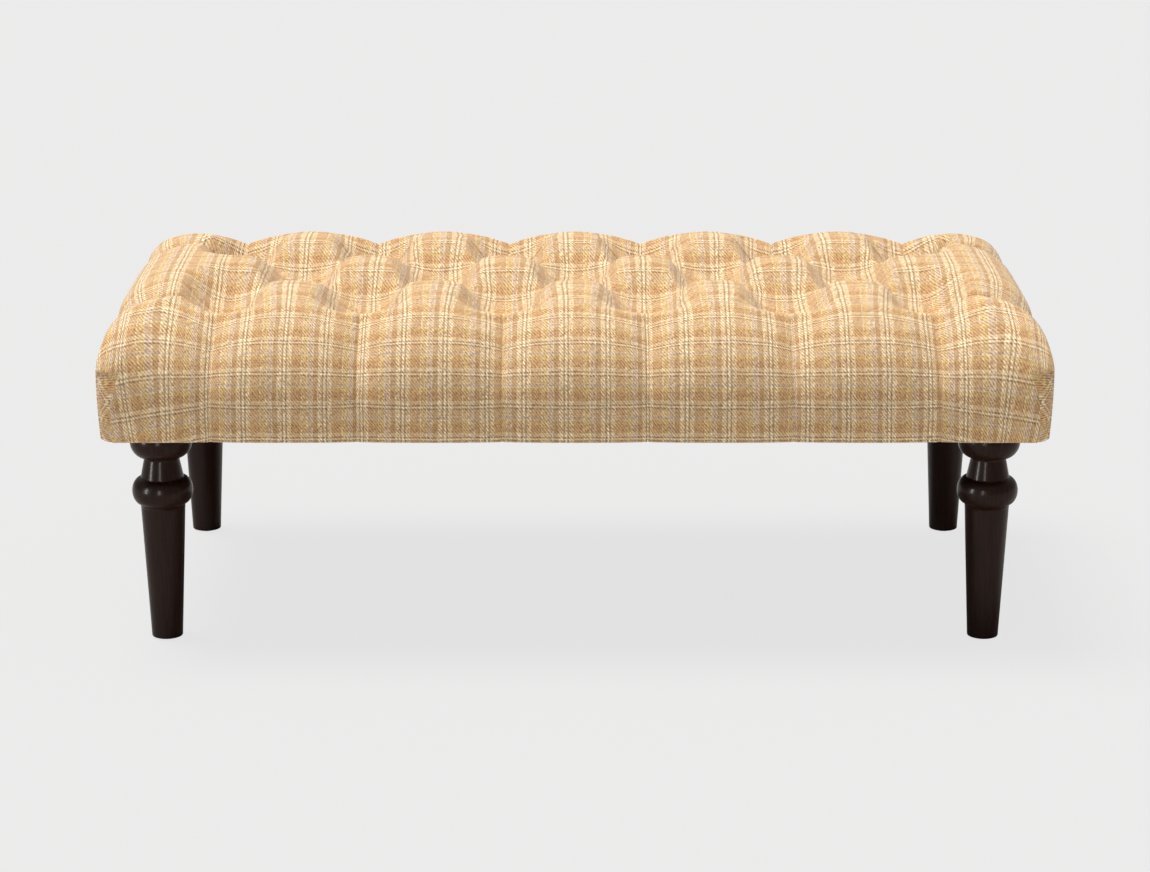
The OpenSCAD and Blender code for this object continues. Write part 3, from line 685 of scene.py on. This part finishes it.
def fold_cloth(plan, z):
    """A ring's cloth coordinates in the corner folds, on the bias and turned over at half height."""
    off = (np.abs(plan) @ [1, -1] - HALF_L + HALF_D) * math.sqrt(0.5)
    rise = np.abs(z - FOLD_TURN_Z)
    return np.stack([rise + off, rise - off], 1) * math.sqrt(0.5)


class Cloth:
    """The cloth's coordinates: flat over the top, then wrapped and folded down the side."""

    def __init__(self, surface):
        side = surface.side
        u, v = top_cloth(surface.grid, surface.cells)
        self.flat = np.stack([u.ravel(), v.ravel() + side.front_total], 1)
        top = self.flat[surface.edge]
        rings = list(zip(side.plans, side.downs))
        self.front = np.stack([front_cloth(side, top, *ring) for ring in rings])
        self.ends = np.stack([end_cloth(side, top, *ring) for ring in rings])
        self.folds = np.stack([fold_cloth(*ring) for ring in zip(side.plans, side.heights)])
        fans = np.stack([fan_cloth(side, top, *ring) for ring in rings])
        self.wrapped = self.wrap(side, fans)
        self.heights = np.stack(side.heights)
        self.closed = smooth_step(1 + (FOLD_TOP_Z - self.heights) / FOLD_EASE)
        self.turn = (side.turn + np.roll(side.turn, -1)) / 2

    def wrap(self, side, fans):
        """Above the folds: from the front's layout round to the end's, by way of the fan."""
        turn = smooth_step((side.turn - FOLD_SHARES[0]) / CORNER_BLEND)[:, None]
        wrapped = self.front + (self.ends - self.front) * turn
        near = 1 - smooth_step((np.stack(side.downs)[..., None] - FAN_FROM) / FAN_REACH)
        return wrapped + (fans - wrapped) * near * 4 * turn * (1 - turn)

    def zone(self, column):
        """The layout at a column where the folds are closed."""
        if self.turn[column] < FOLD_SHARES[0]:
            return self.front
        return self.ends if self.turn[column] > FOLD_SHARES[1] else self.folds

    def corners(self, face, ring, column):
        """The coordinates for each corner of a face; the strip in a fold has a sharp top."""
        zone = self.zone(column)
        in_strip = zone is self.folds and self.heights[ring, column] < FOLD_TOP_Z
        uv = []
        for i in face:
            if i < len(self.flat):
                uv.append(self.flat[i])
                continue
            r, k = divmod(i - len(self.flat), len(self.turn))
            share = in_strip if zone is self.folds else self.closed[r, k]
            uv.append(self.wrapped[r, k] + (zone[r, k] - self.wrapped[r, k]) * share)
        return uv


def hem_rings(surface):
    """The hem, turned in under the frame."""
    last = surface.rings[-1]
    out = outward(surface.side.plans[-1])
    return [np.concatenate([last[:, :2] - out * w, np.full((len(last), 1), HEM_Z)], 1)
            for w in HEM_STEPS]


def hem_faces(start, cloth, rings):
    """Faces and cloth coordinates of the hem, whose rings start at a point number."""
    faces, uv = [], []
    n = len(cloth.turn)
    edge = cloth.front[-1]
    for upper in range(start - n, start - n + rings * n, n):
        for q in range(n):
            r = (q + 1) % n
            faces.append((upper + q, upper + n + q, upper + n + r, upper + r))
            uv += [edge[q], edge[q] - [0, HEM_CLOTH], edge[r] - [0, HEM_CLOTH], edge[r]]
    return faces, uv


def cover_mesh():
    surface = Surface(CELLS)
    cloth = Cloth(surface)
    faces = surface.top_faces()
    uv = [cloth.flat[i] for face in faces for i in face]
    side_faces, places = surface.ring_faces()
    for face, (ring, column) in zip(side_faces, places):
        uv += cloth.corners(face, ring, column)
    points = surface.points()
    hem = hem_rings(surface)
    under, under_uv = hem_faces(len(points), cloth, len(hem))
    return mesh_from("Cover", np.concatenate([points] + hem), faces + side_faces + under,
                     np.array(uv + under_uv))


# Materials

def put(tree, kind, inputs=None, **settings):
    """A shader node with its settings and inputs; an input is a value or another node's output."""
    node = tree.nodes.new("ShaderNode" + kind)
    for key, value in settings.items():
        setattr(node, key, value)
    for key, value in (inputs or {}).items():
        if isinstance(value, bpy.types.NodeSocket):
            tree.links.new(value, node.inputs[key])
        else:
            node.inputs[key].default_value = value
    return node


def maths(tree, operation, *values):
    return put(tree, "Math", dict(enumerate(values)), operation=operation).outputs[0]


def vector_maths(tree, operation, **inputs):
    """Inputs are a and b for the vectors, or a and Scale."""
    named = {{"a": 0, "b": 1}.get(key, key): value for key, value in inputs.items()}
    return put(tree, "VectorMath", named, operation=operation).outputs[0]


def mix_color(tree, share, a, b, blend="MIX"):
    node = put(tree, "Mix", {0: share, 6: a, 7: b}, data_type="RGBA", blend_type=blend)
    return node.outputs[2]


def tinted(tree, color, tint):
    return mix_color(tree, 1.0, color, tint, "MULTIPLY")


def grey(value):
    return (value, value, value, 1)


def ramp(tree, share, stops):
    """A colour ramp through (place, colour) stops."""
    node = put(tree, "ValToRGB", {0: share})
    elements = node.color_ramp.elements
    while len(elements) > 1:
        elements.remove(elements[-1])
    for k, (place, color) in enumerate(stops):
        element = elements[0] if k == 0 else elements.new(place)
        element.position = place
        element.color = color
    return node.outputs[0]


def spread(tree, share, dark, light):
    """From dark to light over the middle of a noise's range."""
    return ramp(tree, share, [(0.3, dark), (0.7, light)])


def noise(tree, place, scale, detail, roughness=0.5, distortion=0.0, output=0):
    return put(tree, "TexNoise", {"Vector": place, "Scale": scale, "Detail": detail,
                                  "Roughness": roughness,
                                  "Distortion": distortion}).outputs[output]


def stretched(tree, place, scale):
    return put(tree, "Mapping", {"Vector": place, "Scale": scale}).outputs[0]


def bump(tree, height, strength, distance):
    return put(tree, "Bump", {"Strength": strength, "Distance": distance,
                              "Height": height}).outputs[0]


def new_material(name, **inputs):
    """A material with a Principled shader; an input's underscores stand for spaces."""
    material = bpy.data.materials.new(name)
    material.use_nodes = True
    tree = material.node_tree
    tree.nodes.clear()
    shader = put(tree, "BsdfPrincipled", {k.replace("_", " "): v for k, v in inputs.items()})
    put(tree, "OutputMaterial", {0: shader.outputs[0]})
    return material, tree, shader


def connect(tree, shader, color, normal):
    tree.links.new(color, shader.inputs["Base Color"])
    tree.links.new(normal, shader.inputs["Normal"])


def yarns(tree, share, bands):
    """The yarns' colours, each band running a little into the next."""
    stops = [(0, bands[0][1])]
    for (_, before), (start, color) in zip(bands, bands[1:]):
        stops += [(start - YARN_EDGE, before), (start + YARN_EDGE, color)]
    return ramp(tree, share, stops)


def uneven(tree, color, uv, scale):
    """Yarns of an uneven colour: darker and lighter streaks along them."""
    streaks = noise(tree, stretched(tree, uv, scale), 1.0, 1.0)
    return tinted(tree, color, spread(tree, streaks, grey(YARN_DARK), grey(YARN_LIGHT)))


def repeat_share(tree, place, first, repeat):
    """The share of the way through a repeat, from the first one's start."""
    from_first = maths(tree, "SUBTRACT", place, first - 100 * repeat)
    return maths(tree, "FRACT", maths(tree, "DIVIDE", from_first, repeat))


def wavering(tree, uv):
    """u and v with a slight wobble, so that no line of the plaid is quite straight."""
    wobble = noise(tree, uv, WOBBLE_SCALE, 1.0, output="Color")
    shift = vector_maths(tree, "SUBTRACT", a=wobble, b=(0.5, 0.5, 0.5))
    shift = vector_maths(tree, "SCALE", a=shift, Scale=WOBBLE)
    axes = put(tree, "SeparateXYZ", {0: vector_maths(tree, "ADD", a=uv, b=shift)})
    return axes.outputs[0], axes.outputs[1]


def weave(tree, u, v):
    """The ribs of the twill, and the uneven grain that runs along them."""
    across = maths(tree, "MULTIPLY_ADD", v, TWILL_SLANT, u)
    along = maths(tree, "MULTIPLY_ADD", u, -TWILL_SLANT, v)
    place = put(tree, "CombineXYZ", {0: maths(tree, "MULTIPLY", across, GRAIN_ACROSS),
                                     1: maths(tree, "MULTIPLY", along, GRAIN_ALONG)}).outputs[0]
    grain = noise(tree, place, 1.0, 2.0, roughness=0.7)
    grain = maths(tree, "MULTIPLY_ADD", grain, GRAIN_GAIN, GRAIN_SHIFT)
    ribs = maths(tree, "DIVIDE", across, TWILL_PITCH)
    diagonal = maths(tree, "MULTIPLY_ADD", grain, TWILL_WAVER, ribs)
    stops = [(at, grey(value)) for at, value in TWILL_STOPS]
    return ramp(tree, maths(tree, "FRACT", diagonal), stops), grain


def plaid_material():
    """A twill of coloured yarns, laid out by the cloth's own coordinates in metres."""
    material, tree, shader = new_material("Plaid", Roughness=0.88, Specular_IOR_Level=0.15,
                                          Sheen_Weight=0.12, Sheen_Roughness=0.5)
    uv = put(tree, "UVMap", uv_map="Cloth").outputs[0]
    u, v = wavering(tree, uv)
    back_v = maths(tree, "SUBTRACT", 1.0, repeat_share(tree, v, FIRST_V, REPEAT_V))
    warp = yarns(tree, repeat_share(tree, u, FIRST_U, REPEAT_U), WARP)
    warp = uneven(tree, warp, uv, (YARN_FINE, YARN_LONG, 1.0))
    weft = uneven(tree, yarns(tree, back_v, WEFT), uv, (YARN_LONG, YARN_FINE, 1.0))
    twill, grain = weave(tree, u, v)
    mixed = maths(tree, "MULTIPLY_ADD", twill, TWILL_SHARE,
                  maths(tree, "MULTIPLY", grain, GRAIN_SHARE))
    woven = mix_color(tree, maths(tree, "MULTIPLY_ADD", mixed, WEFT_GAIN, WEFT_LEAST), warp, weft)
    # Painted highlight and shade of the weave's relief: the colour is lightened on the ribs and
    # darkened in the gaps
    woven = tinted(tree, woven, ramp(tree, mixed, [(0.1, PAINTED_RIB_HIGHLIGHT), (0.9, PAINTED_GAP_SHADE)]))
    blotch = spread(tree, noise(tree, uv, BLOTCH_SCALE, 2.0), BLOTCH_DARK, BLOTCH_LIGHT)
    woven = tinted(tree, woven, blotch)
    height = maths(tree, "ADD", maths(tree, "MULTIPLY", twill, RIB_SHARE), grain)
    connect(tree, shader, woven, bump(tree, height, WEAVE_RELIEF, WEAVE_HEIGHT))
    return material


def wood_material(name, dark, light, grain_scale, roughness, gloss=0.5, coat=0.0):
    """Wood with its grain along one axis, by stretched noise in object space."""
    material, tree, shader = new_material(name, Roughness=roughness, Specular_IOR_Level=gloss,
                                          Coat_Weight=coat, Coat_Roughness=0.16)
    place = stretched(tree, put(tree, "TexCoord").outputs["Object"], grain_scale)
    grain = noise(tree, place, 1.0, 6.0, roughness=0.65, distortion=0.4)
    connect(tree, shader, spread(tree, grain, dark, light),
            bump(tree, grain, WOOD_RELIEF, WOOD_HEIGHT))
    return material


def plain_material(name, color, roughness, metallic=0.0, speckle=0.12, scale=900.0, relief=0.1):
    """Metal, plastic, fibre or cord: one colour broken up by fine noise."""
    material, tree, shader = new_material(name, Roughness=roughness, Metallic=metallic)
    specks = noise(tree, put(tree, "TexCoord").outputs["Object"], scale, 3.0)
    dark, light = (tuple(min(c * (1 + change), 1) for c in color[:3]) + (1,)
                   for change in (-speckle, speckle))
    connect(tree, shader, spread(tree, specks, dark, light),
            bump(tree, specks, relief, SPECK_HEIGHT))
    return material


# The pieces

def make_cover(material):
    cover = new_object("Cover", cover_mesh(), material)
    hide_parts("tufted_cover")
    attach(cover, "root")


def leg_profile():
    """The turned outline as (radius, height), from the foot to the top."""
    ring_low = LEG_TOP - RING_TOP_DROP - RING_H
    foot_z = GLIDE_T + FOOT_ROUND
    points = [(0, GLIDE_T), (FOOT_R - FOOT_ROUND, GLIDE_T),
              (FOOT_R - FOOT_ROUND_MID, GLIDE_T + FOOT_ROUND_MID), (FOOT_R, foot_z)]
    for t in TAPER_STEPS:
        points.append((FOOT_R + (TAPER_R - FOOT_R) * t, foot_z + (ring_low - GLIDE_T) * t))
    for t in ROUND_STEPS:
        core = TAPER_R + (RING_TOP_R - TAPER_R) * t
        points.append((core + (RING_R - core) * math.sin(math.pi * t),
                       ring_low + RING_H * (1 - math.cos(math.pi * t)) / 2))
    for t in WAIST_STEPS:
        points.append((RING_TOP_R + (WAIST_R - RING_TOP_R) * t,
                       LEG_TOP - RING_TOP_DROP + (RING_TOP_DROP - WAIST_DROP) * t))
    top = math.asin(HEAD_DROP / HEAD_HALF_H)
    for t in ROUND_STEPS:
        angle = -math.pi / 2 + (top + math.pi / 2) * t
        points.append((WAIST_R + (HEAD_R - WAIST_R) * math.cos(angle),
                       LEG_TOP - HEAD_DROP + HEAD_HALF_H * math.sin(angle)))
    points.append((0, LEG_TOP))
    return np.array(points)


def lathe(name, profile, segments):
    """A turned mesh about Z; the profile starts and ends on the axis."""
    inner = profile[1:-1]
    turn = np.linspace(0, 2 * math.pi, segments, endpoint=False)
    rings = np.stack([inner[:, :1] * np.cos(turn), inner[:, :1] * np.sin(turn),
                      np.repeat(inner[:, 1:], segments, 1)], 2)
    points = np.concatenate([rings.reshape(-1, 3), [[0, 0, profile[0, 1]], [0, 0, profile[-1, 1]]]])
    faces = []
    last = len(inner) - 1
    for k in range(segments):
        m = (k + 1) % segments
        for ring in range(last):
            a, b = ring * segments + k, ring * segments + m
            faces.append((a, b, b + segments, a + segments))
        faces.append((len(points) - 2, m, k))
        faces.append((len(points) - 1, last * segments + k, last * segments + m))
    return mesh_from(name, points, faces)


def make_legs(material):
    for side_x, x in (("left", -LEG_X), ("right", LEG_X)):
        for side_y, y in (("front", -LEG_Y), ("back", LEG_Y)):
            node = f"{side_y}_{side_x}_leg"
            mesh = lathe(node + "_mesh", leg_profile(), LEG_SEGMENTS)
            leg = new_object(f"Leg_{side_y}_{side_x}", mesh, material)
            leg.location = (x, y, 0)
            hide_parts(node)
            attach(leg, "root")


def batting_mesh():
    """Two layers of the surface, joined where the side ends above the hem."""
    outer = Surface(INSIDE_CELLS, BATTING_IN)
    inner = Surface(INSIDE_CELLS, BATTING_IN + BATTING_T)
    faces, kept = outer.cut(len(outer.rings) - HEM_RINGS - 1)
    under = [tuple(i + kept for i in reversed(face)) for face in faces]
    n = len(outer.edge)
    first = kept - n
    rim = [(first + q, kept + first + q, kept + first + (q + 1) % n, first + (q + 1) % n)
           for q in range(n)]
    points = np.concatenate([outer.points()[:kept], inner.points()[:kept]])
    return mesh_from("Batting", points, faces + under + rim)


def foam_mesh():
    """The surface down to the deck, drawn in to the deck's size and closed flat on it."""
    core = Surface(INSIDE_CELLS, FOAM_IN)
    last = int(np.flatnonzero(core.rings[:, :, 2].max(1) > DECK_Z + MM)[-1])
    faces, kept = core.cut(last)
    n = len(core.edge)
    points = core.points()[:kept]
    base = points[-n:].copy()
    base[:, :2] = np.clip(base[:, :2], [-FOAM_HALF_L, -FOAM_HALF_D], [FOAM_HALF_L, FOAM_HALF_D])
    base[:, 2] = DECK_Z
    for q in range(n):
        r = (q + 1) % n
        faces.append((kept - n + q, kept + q, kept + r, kept - n + r))
        faces.append((kept + q, kept + n, kept + r))
    return mesh_from("Foam", np.concatenate([points, base, [[0, 0, DECK_Z]]]), faces)


def make_inside_pieces():
    """The fibre batting under the cover, and the foam under it."""
    fibre = plain_material("Fibre", srgb(236, 234, 226), 0.95, speckle=0.08, scale=220, relief=0.5)
    batting = new_object("Batting", batting_mesh(), fibre)
    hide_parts("fibre_batting")
    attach(batting, "root")

    cells = plain_material("Foam", srgb(232, 216, 170), 0.9, speckle=0.15, scale=700, relief=0.6)
    foam = new_object("Foam", foam_mesh(), cells)
    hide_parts("foam_pad")
    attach(foam, "root")


def button_ring(x, y, z, radius, pucker=0.0):
    """A ring of points round a button; every other one is drawn in by the pucker."""
    points = []
    for k in range(BUTTON_SEGMENTS):
        turn = 2 * math.pi * k / BUTTON_SEGMENTS
        r = radius * (1 - pucker * (k % 2))
        points.append((x + r * math.cos(turn), y + r * math.sin(turn), z))
    return points


def button_points(x, y):
    """A dome's rings from its crown to the tuck under its rim, then its base."""
    low, height = buttons_low.z, buttons_high.z - buttons_low.z
    points = button_ring(x, y, buttons_high.z, BUTTON_CROWN_R)
    for ring in range(1, BUTTON_RINGS + 1):
        t = ring / BUTTON_RINGS
        angle = math.pi / 2 * (1 - t)
        up = BUTTON_RIM + (1 - BUTTON_RIM) * math.sin(angle) if t < 1 else BUTTON_TUCK
        points += button_ring(x, y, low + height * up, BUTTON_R * math.cos(angle),
                              BUTTON_PUCKER * t ** 4)
    return points + button_ring(x, y, low, BUTTON_BASE_R)


def button_faces(first):
    """The bands between the rings of a button, and its closed base and crown."""
    n = BUTTON_SEGMENTS
    faces = []
    for start in range(first, first + (BUTTON_RINGS + 1) * n, n):
        for k in range(n):
            a, b = start + k, start + (k + 1) % n
            faces.append((a, a + n, b + n, b))
    base = first + (BUTTON_RINGS + 1) * n
    faces.append(tuple(base + k for k in reversed(range(n))))
    faces.append(tuple(first + k for k in range(n)))
    return faces


def make_buttons(material):
    """Cloth-covered domes in the pits, with the cloth puckered under their rims."""
    points, faces = [], []
    for x, y in tuft_rows():
        faces += button_faces(len(points))
        points += button_points(x, y)
    uv = [(points[i][0] + BUTTON_CLOTH, points[i][1]) for face in faces for i in face]
    mesh = mesh_from("Buttons", np.array(points), faces, np.array(uv))
    buttons = new_object("Buttons", mesh, material)
    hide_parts("covered_buttons")
    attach(buttons, "root")


def make_dust_cover():
    """The thin black cloth under the frame, slightly slack between its staples."""
    low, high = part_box("dust_cover")
    nx, ny = DUST_CELLS
    x, y = np.meshgrid(np.linspace(low.x, high.x, nx + 1), np.linspace(low.y, high.y, ny + 1))
    edge = np.minimum(np.minimum(x - low.x, high.x - x), np.minimum(y - low.y, high.y - y))
    first, second = (x * pace_x + y * pace_y for pace_x, pace_y in DUST_WAVES)
    slack = np.clip(edge / DUST_EDGE, 0, 1) * DUST_SLACK * (1 + np.sin(first) * np.cos(second))
    w = nx + 1
    faces = [(j * w + i, (j + 1) * w + i, (j + 1) * w + i + 1, j * w + i + 1)
             for j in range(ny) for i in range(nx)]
    points = np.stack([x, y, high.z - DUST_DROP - slack], 2).reshape(-1, 3)
    cloth = plain_material("Dust_cloth", srgb(30, 30, 32), 0.9, speckle=0.35, scale=1400,
                           relief=0.3)
    sheet = new_object("Dust_cover", mesh_from("Dust_cover", points, faces), cloth)
    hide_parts("dust_cover")
    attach(sheet, "root")


def paint_cad_nodes():
    """Gives each CAD node that still shows the material of its slot."""
    along_x = (WOOD_ALONG, WOOD_ACROSS, WOOD_ACROSS)
    along_y = (WOOD_ACROSS, WOOD_ALONG, WOOD_ACROSS)
    poplar = (srgb(186, 152, 106), srgb(218, 188, 142))
    materials = {
        "plated_steel": plain_material("Zinc", srgb(176, 178, 184), 0.35, metallic=1.0,
                                       speckle=0.08, scale=500),
        "screw_steel": plain_material("Yellow_zinc", srgb(196, 172, 110), 0.35, metallic=1.0,
                                      scale=500),
        "twine": plain_material("Twine", srgb(216, 200, 168), 0.8, speckle=0.2, scale=1500,
                                relief=0.6),
        "glide_nylon": plain_material("Nylon", srgb(40, 40, 42), 0.45, speckle=0.1, relief=0.05),
        "plywood": wood_material("Birch_ply", srgb(200, 168, 118), srgb(224, 196, 150), along_x,
                                 0.7),
        "dowel_wood": wood_material("Beech", srgb(178, 138, 96), srgb(204, 164, 120), along_y,
                                    0.6),
        "frame_wood": wood_material("Poplar", *poplar, along_x, 0.65)}
    cross = wood_material("Poplar_cross", *poplar, along_y, 0.65)
    for part in frame["record"]["subparts"]:
        node, slot = part["node"], part["material_slot"]
        if slot not in materials:
            continue
        runs_across = "stretcher" in node and slot == "frame_wood"
        runs_across = runs_across or node in ("left_rail", "right_rail")
        for place in frame["nodes"][node].material_slots:
            place.material = cross if runs_across else materials[slot]


# Camera, floor and light

def make_camera():
    camera = bpy.data.cameras.new("Camera")
    camera.lens = CAMERA_LENS
    camera.sensor_width = 36
    camera.clip_end = 100
    seen_from = new_object("Camera", camera)
    seen_from.location = CAMERA_PLACE
    seen_from.rotation_euler = (CAMERA_TILT, 0, 0)
    bpy.context.scene.camera = seen_from


def make_floor():
    """A plain floor that looks like an evenly lit backdrop and still takes the shadow."""
    material, tree, shader = new_material("Floor", Base_Color=FLOOR_COLOR, Roughness=0.9,
                                          Specular_IOR_Level=0.1)
    backdrop = put(tree, "Emission", {"Color": BACKDROP_COLOR})
    seen = put(tree, "LightPath").outputs["Is Camera Ray"]
    blend = put(tree, "MixShader", {0: maths(tree, "MULTIPLY", seen, BACKDROP_SHARE),
                                    1: shader.outputs[0], 2: backdrop.outputs[0]})
    tree.links.new(blend.outputs[0], tree.nodes["Material Output"].inputs[0])
    mesh = bpy.data.meshes.new("Floor")
    corners = [(x * FLOOR_HALF, y * FLOOR_HALF, 0) for x, y in ((-1, -1), (1, -1), (1, 1), (-1, 1))]
    mesh.from_pydata(corners, [], [(0, 1, 2, 3)])
    floor = new_object("Floor", mesh, material)


def add_light(name, kind, power, towards):
    lamp = new_object(name, bpy.data.lights.new(name, kind))
    lamp.data.energy = power
    lamp.rotation_euler = Vector(towards).to_track_quat("-Z", "Y").to_euler()
    return lamp


def make_lights():
    """An even world and a broad sun from above, a little from behind and from the left."""
    world = bpy.data.worlds.new("World")
    bpy.context.scene.world = world
    world.use_nodes = True
    background = world.node_tree.nodes["Background"]
    background.inputs[0].default_value = (1, 1, 1, 1)
    background.inputs[1].default_value = WORLD_LIGHT
    sun = add_light("Sun", "SUN", SUN_POWER, SUN_TOWARDS)
    sun.data.angle = SUN_SPREAD
    sun.data.color = SUN_COLOR


def make_softboxes():
    """Two tall softboxes in front, only there for the highlights on the polished legs."""
    for turn, power in SOFTBOXES:
        place = Vector((-math.sin(turn), -math.cos(turn), 0)) * SOFTBOX_AWAY
        box = add_light("Softbox", "AREA", power, -place)
        box.data.shape = "RECTANGLE"
        box.data.size, box.data.size_y = SOFTBOX_W, SOFTBOX_H
        box.location = place + Vector((0, 0, SOFTBOX_Z))
        box.visible_camera = False
        box.visible_diffuse = False


bpy.context.scene.view_settings.view_transform = "Standard"
make_camera()
make_floor()
make_lights()
make_softboxes()
plaid = plaid_material()
make_cover(plaid)
make_legs(wood_material("Espresso", srgb(28, 13, 8), srgb(44, 26, 18), LEG_GRAIN, 0.35,
                        gloss=0.05, coat=0.12))
make_inside_pieces()
make_buttons(plaid)
make_dust_cover()
paint_cad_nodes()
